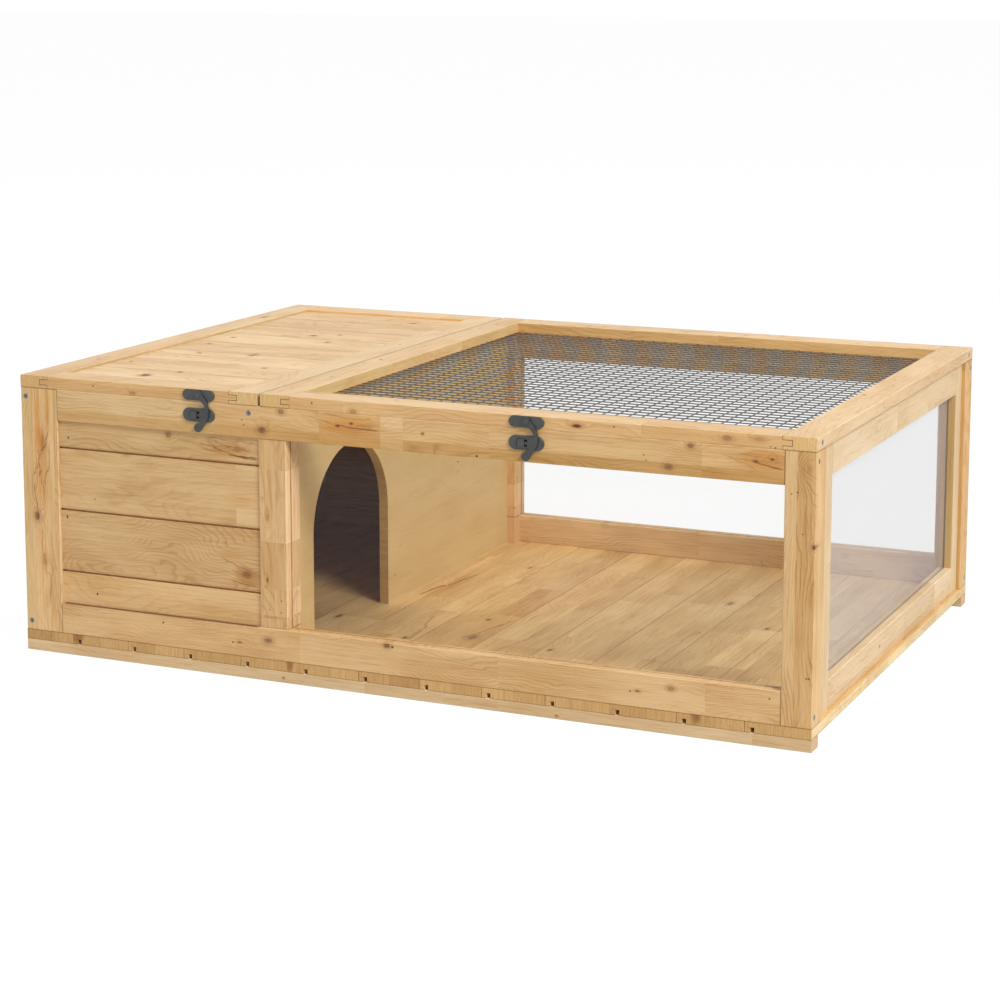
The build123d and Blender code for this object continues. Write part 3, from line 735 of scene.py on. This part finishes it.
post_pips = [
    (280.3, 472.8, 0.9, 1.1),
    (282.4, 479.4, 0.9, 1.1),
    (81.2, 493.0, 1.0, 1.1),
    (81.4, 496.0, 1.0, 1.1),
    (238, 486, 0.8, 1.1),
]
post_seams = [(X, post_edge, 0)] + wall_seams
timber(
    "front_left_stile",
    Z,
    X,
    -1,
    frame_tones,
    pith=(4, 24),
    ring=3.6,
    wander=8,
    figure=1.3,
    strips=stile_strips,
    blocks=[(floor_top, whole)],
    knots=stile_knots,
    cracks_and_shadows=stile_cracks,
    stains_and_shade=stile_stains,
    seams=stile_seams,
    painted_light_faces=[(X, 1, (0.9, 1.0, 1.15))],
)
timber(
    "front_mid_stile",
    Z,
    X,
    -1,
    frame_tones,
    pith=(12, 60),
    blocks=mid_blocks,
    knots=mid_knots,
    pips=mid_pips,
    seams=mid_seams,
    painted_light_faces=[(X, 1, (1.12, 1.22, 1.42))],
)
timber(
    "front_right_post",
    Z,
    X,
    -1,
    frame_tones,
    pith=(-6, 90),
    ring=2.4,
    wander=3.5,
    figure=1.5,
    strips=post_strips,
    blocks=[(floor_top, whole)],
    knots=post_knots,
    pips=post_pips,
    cracks_and_shadows=post_cracks,
    seams=post_seams,
    painted_light_faces=[(X, 1, (1.06, 1.13, 1.2))],
)
timber("rear_left_stile", Z, X, 1, frame_tones, strips=stile_strips, knots=stile_knots[1:], seams=stile_seams)
timber("rear_mid_stile", Z, X, 1, frame_tones, blocks=mid_blocks, seams=mid_seams)
timber(
    "rear_right_post",
    Z,
    X,
    -1,
    frame_tones,
    strips=post_strips,
    stains_and_shade=[(60, 480, 22, 14, (0.6, 0.45, 0.34))],
    seams=post_seams,
    painted_light_faces=[(Y, -1, (0.86, 0.85, 0.8))],
)


# Rails of the long walls: the upper one glued from two strips, the lower one with a lively wavy
# grain. Short lengths are glued end to end, so the tone steps along each rail. The wood in the
# window of each latch's keeper is painted near black, as painted shade in the slot. A painted
# shadow line runs along the top of the lower rail, and the rails' inner faces carry painted light.
top_strips = [(289, (0.87, 0.78, 0.62)), (302, (1.04, 1.04, 1.04))]
top_blocks = [
    (-448.5, (1.01, 1.04, 1.06)),
    (-232, (0.99, 0.95, 0.88)),
    (-92, (0.97, 0.88, 0.73)),
    (-14.8, (1.06, 1.08, 1.1)),
    (12, (1.0, 0.98, 0.94)),
    (120, (0.95, 0.93, 0.86)),
    (372, (0.97, 0.92, 0.83)),
]
top_knots = [
    (-141.1, 322.8, 3.0, 1.4, 0.45),
    (-166.6, 299.4, 4.0, 1.4, 0.55),
    (-49.7, 315.7, 1.8, 1.4, 0.7),
    (-67.5, 311.9, 1.6, 2.0, 0.7),
    (-52, 313, 6.0, 3.4, 0.0),
    (40.3, 311.2, 1.6, 1.2, 0.7),
    (359.2, 323.3, 3.0, 1.3, 0.5),
    (334.3, 297.9, 4.0, 1.4, 0.5),
    (451.0, 315.7, 1.8, 1.4, 0.7),
    (432.9, 312.0, 1.6, 2.0, 0.7),
    (448, 313, 6.0, 3.4, 0.0),
]
top_pips = [
    (107.2, 291.0, 1.4, 1.1),
    (305.8, 308.7, 0.8, 1.1),
    (308.5, 302.9, 0.8, 1.1),
    (-193.0, 309.5, 0.8, 1.1),
    (-190.5, 303.5, 0.8, 1.1),
]
top_cracks = [
    (-70, 312.5, -48, 309.0, 4, 1.1, 0.8),
    (-52, 309.2, -15, 306.8, 5, 1.2, 0.75),
    (-112, 318, -60, 306, 12, 0.7, 0.35),
    (-92, 321, -20, 319, 10, 0.7, 0.35),
    (430, 312.5, 452, 309.0, 4, 1.1, 0.8),
    (448, 309.2, 465, 307.6, 5, 1.2, 0.75),
    (392, 319, 440, 306, 12, 0.7, 0.35),
    (414, 321, 464, 319, 10, 0.7, 0.35),
]
top_stains = [(x, 313, reach, 12, (1.0, 0.85, 0.64)) for x, reach in ((-52, 46), (444, 42))]
# Painted shade: the wood in each keeper's slot is painted near black, for the shadow in the slot.
slot_painted_shade = [(x, 311, 7, 7, (0.08, 0.07, 0.06)) for x in (-252, 166)]
wall_stains_and_shade = {"front": top_stains + slot_painted_shade, "rear": top_stains}
low_blocks = [
    (-448.5, (1.04, 1.02, 0.98)),
    (-122.9, (1.04, 1.03, 1.01)),
    (130, (1.03, 1.03, 1.0)),
    (378.3, (1.03, 1.01, 0.98)),
]
low_knots = [
    (-161.7, 48.5, 3.6, 1.6, 0.5),
    (-6.4, 60.3, 2.8, 1.5, 0.7),
    (340.1, 51.9, 2.6, 1.6, 0.35),
    (-200.5, 42.4, 1.3, 2.4, 0.5),
    (301.0, 44.4, 1.3, 2.4, 0.5),
]
# Painted shadow: a dark line along the top of the lower rail, where the boards' edge shades it.
low_rail_painted_shadow = [(-447, low_rail_top, -173, low_rail_top, 0, 1.6, 0.95)]
low_pips = [
    (-305.1, 54.8, 1.1, 1.1),
    (-209.5, 41.6, 1.0, 1.1),
    (292.5, 43.4, 1.0, 1.1),
    (452.5, 54.3, 0.9, 1.1),
    (0.8, 59.4, 1.4, 1.1),
]
rail_seams = [(X, stile_edge, 0), (X, post_edge, 0)]
# Painted light on the rails' inner faces: lighter and cooler, most on the upper rails behind the mesh.
rail_inner_painted_light = (1.0, 1.08, 1.2)
top_inner_painted_light = (1.15, 1.42, 1.9)
for wall, face in (("front", -1), ("rear", 1)):
    timber(
        f"{wall}_top_rail",
        X,
        Z,
        face,
        frame_tones,
        pith=(16, 34),
        ring=4.0,
        wander=8,
        figure=1.1,
        strips=top_strips,
        blocks=top_blocks,
        knots=top_knots,
        pips=top_pips,
        cracks_and_shadows=top_cracks,
        stains_and_shade=wall_stains_and_shade[wall],
        seams=rail_seams + [(Z, wall_top, 0)],
        painted_light_faces=[(Y, -face, top_inner_painted_light)],
    )
    timber(
        f"{wall}_bottom_rail",
        X,
        Z,
        face,
        frame_tones,
        pith=(4, 15),
        ring=2.9,
        wander=8,
        figure=1.2,
        blocks=low_blocks,
        knots=low_knots,
        pips=low_pips,
        cracks_and_shadows=low_rail_painted_shadow,
        seams=rail_seams + [(Z, floor_top, 0)],
        painted_light_faces=[(Y, -face, rail_inner_painted_light)],
    )


# Boarding of the hide: four shiplap boards in the front, and the same in the rear and the left
# wall, all in grooves. The front boards' own figure and flaws are listed by row, from the top.
board_face_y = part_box("front_board_1")[0].y * metre
board_joints = (105, 181, 257)
# A band of painted shade lies along each board joint, over the groove.
groove_reach = 3.0
groove_shade = 0.3
board_tones = (paint(234, 199, 147), paint(210, 167, 110))
# Painted light on the inner faces of the rear and left boards
board_inner_painted_light = (1.0, 1.14, 1.32)
board_details = {
    4: {
        "pith": (12, 60),
        "blocks": [(-460, (0.96, 0.93, 0.87))],
        "pips": [(-436, 268.6, 1.6, 0.8)],
        "knots": [(-295.4, 282.7, 3.2, 1.2, 0.45), (-214, 272, 4.4, 4.5, 0.1)],
        "cracks_and_shadows": [
            (-254, 277, -176, 262.3, 14, 1.0, 0.6),
            (-240, 280, -182, 268, 18, 0.9, 0.5),
            (-214, 268, -174, 261, 12, 1.4, 0.95),
            (-204, 265, -174, 259, 10, 1.1, 0.9),
            (-244, 285, -176, 276, 16, 0.9, 0.45),
            (-250, 271, -196, 264, 14, 0.8, 0.4),
        ],
        "stains_and_shade": [(-212, 271, 40, 12, (0.97, 0.86, 0.7))],
    },
    3: {
        "pith": (8, 46),
        "ring": 4.6,
        "figure": 0.7,
        "blocks": [(-460, (1.01, 0.99, 0.95)), (-204.6, (1.04, 1.03, 1.0))],
        "knots": [(-355, 257.5, 3.4, 1.5, 1.0), (-330, 243, 3.0, 3.6, 0.0)],
        "pips": [(-400.1, 196.2, 1.2, 0.6)],
        "stains_and_shade": [(-200, 214, 24, 12, (0.95, 0.88, 0.78))],
    },
    2: {
        "pith": (-6, 20),
        "ring": 5.0,
        "wander": 13,
        "figure": 1.1,
        "blocks": [(-460, (0.97, 0.94, 0.89))],
        "knots": [(-191.8, 123.7, 5.0, 1.5, 0.45)],
        "pips": [(-440.2, 170.7, 2.2, 0.6)],
        "cracks_and_shadows": [(-226, 140, -178, 126, 8, 1.0, 0.5), (-212, 116, -176, 110, 6, 1.2, 0.6)],
        "stains_and_shade": [(-191.8, 124, 22, 13, (0.88, 0.77, 0.62)), (-214, 146, 24, 9, (0.93, 0.84, 0.72))],
    },
    1: {
        "pith": (10, 40),
        "figure": 0.6,
        "blocks": [(-460, (1.08, 1.06, 1.01))],
        "pips": [(-399.8, 78.8, 1.9, 0.6)],
    },
}
for row, details in board_details.items():
    timber(
        f"front_board_{row}",
        X,
        Z,
        -1,
        board_tones,
        recess=board_face_y,
        seams=[(Z, joint, 0) for joint in board_joints[max(row - 2, 0) : row]],
        seam_reach=groove_reach,
        seam_shade=groove_shade,
        **details,
    )
board_tints = [(0.98, 0.95, 0.9), (1.02, 1.0, 0.97), (0.99, 0.96, 0.92)]
board_strips = [(low_rail_top, whole)] + list(zip(board_joints, board_tints))
for name, grain, face, inner in (("rear_boards", X, 1, (Y, -1)), ("left_boards", Y, -1, (X, 1))):
    timber(
        name,
        grain,
        Z,
        face,
        board_tones,
        strips=board_strips,
        blocks=[(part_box(name)[0][grain] * metre, whole)],
        painted_light_faces=[(*inner, board_inner_painted_light)],
    )
for rail in ("left_top_rail", "left_bottom_rail"):
    timber(rail, Y, Z, -1, frame_tones)


# Right wall: a light frame set back between the corner posts, with a golden strip glued along
# the foot of its lower rail, where it stands on the floor's edge.
side_tones = (paint(236, 211, 172), paint(221, 190, 146))
# Painted shade on the rear stile's reveal, the face that looks to the front behind the pane.
reveal_painted_shade = (0.78, 0.7, 0.5)
foot_strips = [(floor_top, (0.94, 0.9, 0.82)), (floor_top + 10, whole)]
timber("right_front_stile", Z, Y, 1, side_tones, figure=0.5)
timber("right_rear_stile", Z, Y, 1, side_tones, figure=0.5, painted_light_faces=[(Y, -1, reveal_painted_shade)])
timber("right_top_rail", Y, Z, 1, side_tones, figure=0.5)
timber(
    "right_bottom_rail",
    Y,
    Z,
    1,
    side_tones,
    figure=0.7,
    strips=foot_strips,
    knots=[(-60, 44, 1.4, 1.6, 0.6)],
    seams=[(Z, floor_top, 0)],
)


# Panes of the run: clear plastic sheet in the grooves of the frames, with a slight milky film
# and faint smears that catch the light. The side pane's film is much thicker, as a painted
# reflection: the haze that its grazing view shows.
pane_tint = paint(204, 205, 210)
# Film on each pane; on the right-hand pane it is mostly painted reflection, for the haze at a grazing view
pane_films_and_haze = {"front_pane": 0.025, "rear_pane": 0.04, "right_pane": 0.24}
pane_roughness = 0.06
smear_scale = (9.0, 9.0, 22.0)
smear_share = 0.12

for name, film_and_haze in pane_films_and_haze.items():
    material, clear, shader = new_finish(name)
    place = clear.node("ShaderNodeTexCoord", {}, {}, "Object")
    smear = clear.noise(place, smear_scale, 4.0, 0.6)
    shader.inputs["Base Color"].default_value = pane_tint
    feed(clear, shader, "Alpha", film_and_haze + (smear - 0.5) * (film_and_haze * smear_share))
    feed(clear, shader, "Roughness", pane_roughness + smear * 0.05)
    dress(name, material)


# Partition between the hide and the run: one sheet of pale plywood on edge, with the arch sawn
# through it and a darker sawn edge, and a beam under the meeting lids.
ply_tones = (paint(223, 195, 136), paint(210, 178, 118))
ply_pips = [
    (148, 173, 0.9, 2.6),
    (148, 159, 0.8, 2.6),
    (-42, 60, 0.6, 4.0),
    (-27, 95, 0.5, 4.0),
    (92, 125, 0.6, 2.6),
]
timber(
    "partition",
    Y,
    Z,
    1,
    ply_tones,
    pith=(-40, 24),
    ring=9,
    wander=16,
    figure=0.12,
    contrast=0.5,
    blocks=[(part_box("partition")[0].y * metre, whole)],
    pips=ply_pips,
    end_tint=(0.9, 0.82, 0.72),
)
timber("divider_beam", Y, X, 1, frame_tones)


# Lid frames: side rails from front to back, and cross rails let into them on open stub tenons,
# whose glue lines show brown on the front. The rails' sawn ends are yellower, with fine ribs.
lid_tones = (paint(232, 202, 160), paint(214, 178, 132))
tongue_middle = 334.5
tongue_half_height = 3.4
lid_front_knots = {
    "left": [(-341.3, 330.2, 2.4, 1.8, 0.35)],
    "right": [
        (-47.4, 329.8, 2.4, 1.8, 0.35),
        (227.3, 334.4, 2.0, 2.8, 1.0),
        (400.2, 334.7, 3.0, 1.8, 0.4),
        (436, 336.0, 2.4, 2.6, 0.1),
    ],
}
lid_front_pips = {
    "left": [(-396.3, 335.0, 1.0, 1.1)],
    "right": [
        (-100.6, 335.9, 1.0, 1.1),
        (271.1, 336.8, 0.9, 1.1),
        (454.2, 328.2, 1.0, 1.1),
        (449, 329, 0.7, 1.1),
    ],
}
lid_front_blocks = {
    "left": [(-500, (0.97, 0.92, 0.84))],
    "right": [(-170, (0.98, 0.93, 0.86)), (-60, (1.0, 0.96, 0.9)), (301.3, (0.95, 0.88, 0.78))],
}
lid_side_knots = {
    "lid_left_left_rail": [(-206, -480, 1.4, 1.6, 0.6), (210, -478, 3.0, 2.4, 0.5)],
    "lid_left_right_rail": [(60, -190, 1.4, 1.6, 0.5)],
    "lid_right_left_rail": [
        (-63, -156, 1.8, 1.6, 0.7),
        (-206, -150, 1.4, 1.4, 0.6),
        (284, -152, 1.4, 1.6, 0.5),
    ],
    "lid_right_right_rail": [(-66, 471, 1.8, 1.3, 0.8), (12, 484, 1.2, 1.4, 0.6)],
}
meeting_edges = {"left": "right", "right": "left"}
# Painted light and shade on the lid rails by face: darker where the lids meet, tinted on inner, front and
# rear faces.
meeting_painted_shade = (0.74, 0.78, 0.86)
lid_inner_painted_light = {"left": (0.86, 0.9, 0.8), "right": (1.03, 1.03, 0.88)}
lid_front_painted_light = (1.1, 1.02, 0.86)
lid_rear_painted_light = (1.12, 1.02, 0.78)
lid_end_tint = (1.3, 1.33, 1.15)
# Painted shade line along the foot of each lid rail
lid_seams = [(Z, wall_top, 0)]

for side, meeting_edge in meeting_edges.items():
    tongues = []
    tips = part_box(f"lid_{side}_front_rail")
    for edge, way, tip, inner_corner in (("left", -1, tips[0], 1), ("right", 1, tips[1], 0)):
        name = f"lid_{side}_{edge}_rail"
        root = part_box(name)[inner_corner]
        tongues.append((root.x * metre, tip.x * metre, tongue_middle, tongue_half_height))
        painted_light_faces = [(X, -way, lid_inner_painted_light[side])]
        if edge == meeting_edge:
            painted_light_faces.append((X, way, meeting_painted_shade))
        timber(
            name,
            Y,
            X,
            1,
            lid_tones,
            figure=0.5,
            knots=lid_side_knots[name],
            seams=lid_seams,
            painted_light_faces=painted_light_faces,
            end_tint=lid_end_tint,
        )
    timber(
        f"lid_{side}_front_rail",
        X,
        Z,
        -1,
        lid_tones,
        pith=(-30, 20),
        figure=0.9,
        blocks=lid_front_blocks[side],
        knots=lid_front_knots[side],
        pips=lid_front_pips[side],
        fingers=tongues,
        seams=lid_seams,
        painted_light_faces=[(Y, -1, lid_front_painted_light)],
    )
    timber(f"lid_{side}_rear_rail", X, Z, -1, lid_tones, figure=1.1, painted_light_faces=[(Y, -1, lid_rear_painted_light)])


# Hide lid: eight thin boards laid side by side in the grooves of the frame, pale, with small
# dark knots, and a shade of tone from one board to the next.
lid_board_knots = {
    1: [(-387.6, -309, 4.0, 0.8, 1.0), (-371, -270, 6.6, 0.8, 1.0)],
    2: [(-345, -234, 4.4, 0.8, 0.9), (-443, -190, 3.0, 0.9, 0.8), (-266, -164, 3.4, 1.0, 0.8)],
    3: [(-402.6, -92, 3.4, 1.0, 0.8), (-331, -82, 4.2, 0.9, 0.9)],
    4: [(-331, -72, 3.4, 0.9, 0.8), (-432, -18, 3.0, 1.0, 0.7)],
    5: [(-432, 44, 3.4, 1.0, 0.8), (-295.5, 57, 3.6, 1.0, 0.8)],
    6: [(-341, 102, 4.4, 1.0, 0.9), (-312, 122, 3.0, 1.0, 0.8)],
    7: [(-240, 151, 4.6, 1.0, 0.9), (-420, 144, 5.0, 2.4, 0.3)],
    8: [(-354, 229, 4.6, 1.4, 0.9), (-270, 262, 5.0, 1.0, 0.6)],
}
# Painted shade along the edges of each lid board, where the boards meet
lid_board_reach = 3.4
lid_board_tints = [
    (1.09, 1.09, 1.08),
    (1.03, 1.0, 0.96),
    (1.1, 1.1, 1.1),
    (1.0, 0.96, 0.9),
    (1.1, 1.1, 1.08),
    (1.06, 1.05, 1.03),
    (0.98, 0.94, 0.9),
    (1.06, 1.04, 1.0),
]
for row, tint in enumerate(lid_board_tints, start=1):
    board_low, board_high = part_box(f"lid_left_board_{row}")
    timber(
        f"lid_left_board_{row}",
        X,
        Y,
        1,
        lid_tones,
        pith=(14, 60),
        figure=1.2,
        contrast=1.7,
        blocks=[(board_low.x * metre, tint)],
        knots=lid_board_knots[row],
        seams=[(Y, board_low.y * metre, 0), (Y, board_high.y * metre, 0)],
        seam_reach=lid_board_reach,
    )


# Wire mesh of the run lid: galvanised wires at a close square pitch, pressed into each other
# and welded where they cross, and let into the rebate below the lid's frame.
mesh_wire = 0.00074
mesh_pitch = 0.0158
mesh_sides = 8
mesh_layer_step = 0.00001
mesh_low, mesh_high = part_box("lid_right_mesh")
mesh_upper = mesh_high.z - mesh_wire
mesh_lower = mesh_upper - mesh_layer_step

wires = bmesh.new()


def lay_wire(start, end):
    """One straight wire between two points."""
    run = end - start
    placed = Matrix.Translation((start + end) / 2) @ run.to_track_quat("Z", "Y").to_matrix().to_4x4()
    bmesh.ops.create_cone(
        wires,
        cap_ends=True,
        segments=mesh_sides,
        radius1=mesh_wire,
        radius2=mesh_wire,
        depth=run.length,
        matrix=placed,
    )


def wire_lines(low, high):
    """Places of the wires of one layer, centred between two edges."""
    count = int((high - low) / mesh_pitch)
    first = (low + high - count * mesh_pitch) / 2
    return [first + index * mesh_pitch for index in range(count + 1)]


for x in wire_lines(mesh_low.x + mesh_wire, mesh_high.x - mesh_wire):
    lay_wire(Vector((x, mesh_low.y, mesh_lower)), Vector((x, mesh_high.y, mesh_lower)))
for y in wire_lines(mesh_low.y + mesh_wire, mesh_high.y - mesh_wire):
    lay_wire(Vector((mesh_low.x, y, mesh_upper)), Vector((mesh_high.x, y, mesh_upper)))


def finished(name, shape, material, body, slot, *replaced):
    """Turns a shape into a named piece that rides on a body and stands for CAD nodes."""
    bmesh.ops.recalc_face_normals(shape, faces=shape.faces)
    mesh = bpy.data.meshes.new(name)
    shape.to_mesh(mesh)
    shape.free()
    mesh.materials.append(material)
    piece = bpy.data.objects.new(name, mesh)
    scene.collection.objects.link(piece)
    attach(piece, body)
    if replaced:
        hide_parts(*replaced)


cloud_pitch = (130.0, 130.0, 130.0)
grit_pitch = (2600.0, 2600.0, 2600.0)
grit_relief = {"Strength": 0.2, "Distance": 0.00008}


def metal(name, colour, roughness, metallic, speckle):
    """Steel with a cloudy coat and a fine grain."""
    material, steel, shader = new_finish(name)
    place = steel.node("ShaderNodeTexCoord", {}, {}, "Object")
    cloud = steel.noise(place, cloud_pitch, 3.0, 0.6)
    grit = steel.noise(place, grit_pitch, 2.0)
    dull = tuple(level * (1 - speckle) for level in colour[:3]) + (1.0,)
    feed(steel, shader, "Base Color", steel.blend(cloud.smooth(0.3, 0.7), dull, colour))
    feed(steel, shader, "Roughness", roughness + (cloud - 0.5) * 0.25 + (grit - 0.5) * 0.1)
    shader.inputs["Metallic"].default_value = metallic
    bump = steel.node("ShaderNodeBump", {}, {**grit_relief, "Height": grit})
    feed(steel, shader, "Normal", bump)
    return material


wire_steel = metal("galvanised_wire", paint(108, 108, 106), 0.5, 0.25, 0.3)
finished("run_lid_wires", wires, wire_steel, "lid_right", "mesh_wire", "lid_right_mesh")


# Hinges on the rear: two zinc-plated butt hinges to each lid, each leaf held by two small
# round-headed screws.
hinge_zinc = metal("zinc_hinge", paint(186, 188, 190), 0.34, 0.9, 0.2)
for name in ("hinge_frame_leaves", "hinge_pins", "lid_left_hinge_leaves", "lid_right_hinge_leaves"):
    dress(name, hinge_zinc)

hinge_lines = {"left": (-0.438, -0.234), "right": (-0.1065, 0.438)}
rear_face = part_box("rear_top_rail")[1].y
leaf_thickness = 0.0012
leaf_face_y = rear_face + leaf_thickness
leaf_screw_radius = 0.0021
leaf_screw_height = 0.0009
leaf_screw_spread = 0.013
frame_screw_z = 0.3095
lid_screw_z = 0.3352


def round_heads(shape, spots):
    """Small domed screw heads on a face that looks backwards."""
    turned = Matrix.Rotation(math.radians(-90), 4, "X")
    flattened = Matrix.Diagonal((1, 1, leaf_screw_height / leaf_screw_radius, 1))
    for spot in spots:
        dome = bmesh.ops.create_uvsphere(
            shape,
            u_segments=16,
            v_segments=8,
            radius=leaf_screw_radius,
            matrix=Matrix.Translation(spot) @ turned @ flattened,
        )
        hidden = [vertex for vertex in dome["verts"] if vertex.co.y < spot.y - leaf_screw_height * 0.5]
        bmesh.ops.delete(shape, geom=hidden, context="VERTS")
    rims = [edge for edge in shape.edges if edge.is_boundary]
    bmesh.ops.holes_fill(shape, edges=rims)


for owner, lines, height in (
    ("house", hinge_lines["left"] + hinge_lines["right"], frame_screw_z),
    ("lid_left", hinge_lines["left"], lid_screw_z),
    ("lid_right", hinge_lines["right"], lid_screw_z),
):
    heads = bmesh.new()
    places = [x + side * leaf_screw_spread for x in lines for side in (-1, 1)]
    round_heads(heads, [Vector((x, leaf_face_y, height)) for x in places])
    finished(f"{owner}_hinge_screws", heads, hinge_zinc, owner, "hinge_steel")


# Latches: pressed steel with a dark satin coat, which is rubbed smoother on the arms.
latch_dark = metal("latch_coat", paint(80, 82, 81), 0.42, 0.3, 0.2)
arm_dark = metal("latch_arm_coat", paint(76, 78, 78), 0.32, 0.45, 0.2)
for side in ("left", "right"):
    dress(f"latch_plate_{side}", latch_dark)
    dress(f"latch_keeper_{side}", latch_dark)
    dress(f"latch_arm_{side}", arm_dark)


# Screws: countersunk heads with a cross recess, zinc plated, driven flush into the frames and
# into the sides of the lids.
screw_sides = 24
screw_radius = 0.0032
screw_neck = 0.0018
screw_tip_share = 0.1
screw_reach = 0.046
screw_point = 0.004
cross_half = 0.0019
cross_arm = 0.00055
cross_depth = 0.0012
cross_taper = 0.45
screw_zinc = metal("zinc_screw", paint(134, 135, 136), 0.42, 0.5, 0.25)
front_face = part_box("front_top_rail")[0].y
left_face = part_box("front_left_stile")[0].x
right_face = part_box("front_right_post")[1].x
stile_screw_x = left_face + 0.007
stile_screw_heights = (0.037, 0.316)
beam_screw_x = -0.184
beam_screw_z = 0.318
post_screw_inset = 0.009
lid_screw_inset = 0.019
lid_screw_height = 0.3345
wall_screw_turns = {-1: (20, 65, 10), 1: (40, 5, 75)}
post_screw_turns = {-1: (30, 50), 1: (15, 80)}
lid_screw_turns = {"left": (25, 60), "right": (35, 70)}

frame_screw_seats = []
for face, turns in wall_screw_turns.items():
    face_y = front_face if face < 0 else rear_face
    spots = [(stile_screw_x, face_y, height) for height in stile_screw_heights]
    spots.append((beam_screw_x, face_y, beam_screw_z))
    frame_screw_seats += [(spot, (0, face, 0), turn) for spot, turn in zip(spots, turns)]
for face, turns in post_screw_turns.items():
    screw_y = front_face + post_screw_inset if face < 0 else rear_face - post_screw_inset
    for height, turn in zip(stile_screw_heights, turns):
        frame_screw_seats.append(((right_face, screw_y, height), (1, 0, 0), turn))

lid_screw_seats = {}
for side, outward in (("left", -1), ("right", 1)):
    face_x = left_face if outward < 0 else right_face
    depths = (front_face + lid_screw_inset, rear_face - lid_screw_inset)
    lid_screw_seats[side] = [
        ((face_x, screw_y, lid_screw_height), (outward, 0, 0), turn)
        for screw_y, turn in zip(depths, lid_screw_turns[side])
    ]


def drive_screw(shape, spot, outward, turn):
    """A countersunk screw at its seat, with a cross recess turned by an angle."""
    rim = bmesh.ops.create_circle(shape, segments=screw_sides, radius=screw_radius)["verts"]
    rim_edges = list({edge for vertex in rim for edge in vertex.link_edges})
    corners = []
    for quarter in range(4):
        spin = Matrix.Rotation(math.radians(90 * quarter), 3, "Z")
        for x, y in ((cross_arm, cross_arm), (cross_arm, cross_half), (-cross_arm, cross_half)):
            corners.append(shape.verts.new(spin @ Vector((x, y, 0))))
    cross_edges = [shape.edges.new((corners[i - 1], corners[i])) for i in range(len(corners))]
    bmesh.ops.triangle_fill(shape, use_beauty=True, use_dissolve=False, edges=rim_edges + cross_edges)
    sunk = bmesh.ops.extrude_edge_only(shape, edges=cross_edges)["geom"]
    bottom = [part for part in sunk if isinstance(part, bmesh.types.BMVert)]
    for vertex in bottom:
        vertex.co = Vector((vertex.co.x * cross_taper, vertex.co.y * cross_taper, -cross_depth))
    bottom_edges = [part for part in sunk if isinstance(part, bmesh.types.BMEdge) and part.is_boundary]
    bmesh.ops.edgeloop_fill(shape, edges=bottom_edges)
    made = set(rim) | set(corners) | set(bottom)
    ring = rim_edges
    for radius, level in (
        (screw_neck, screw_neck - screw_radius),
        (screw_neck, screw_point - screw_reach),
        (screw_neck * screw_tip_share, -screw_reach),
    ):
        grown = bmesh.ops.extrude_edge_only(shape, edges=ring)["geom"]
        low_ring = [part for part in grown if isinstance(part, bmesh.types.BMVert)]
        for vertex in low_ring:
            flat = Vector((vertex.co.x, vertex.co.y, 0)).normalized() * radius
            vertex.co = Vector((flat.x, flat.y, level))
        ring = [part for part in grown if isinstance(part, bmesh.types.BMEdge) and part.is_boundary]
        made |= set(low_ring)
    bmesh.ops.edgeloop_fill(shape, edges=ring)
    aimed = Vector(outward).to_track_quat("Z", "Y").to_matrix().to_4x4()
    placed = Matrix.Translation(spot) @ aimed @ Matrix.Rotation(math.radians(turn), 4, "Z")
    bmesh.ops.transform(shape, matrix=placed, verts=list(made))


for name, body, seats, replaced in (
    ("frame_cross_screws", "house", frame_screw_seats, "frame_screws"),
    ("lid_left_cross_screws", "lid_left", lid_screw_seats["left"], "lid_left_screws"),
    ("lid_right_cross_screws", "lid_right", lid_screw_seats["right"], "lid_right_screws"),
):
    screws = bmesh.new()
    for spot, outward, turn in seats:
        drive_screw(screws, spot, outward, turn)
    finished(name, screws, screw_zinc, body, "zinc_screw", replaced)
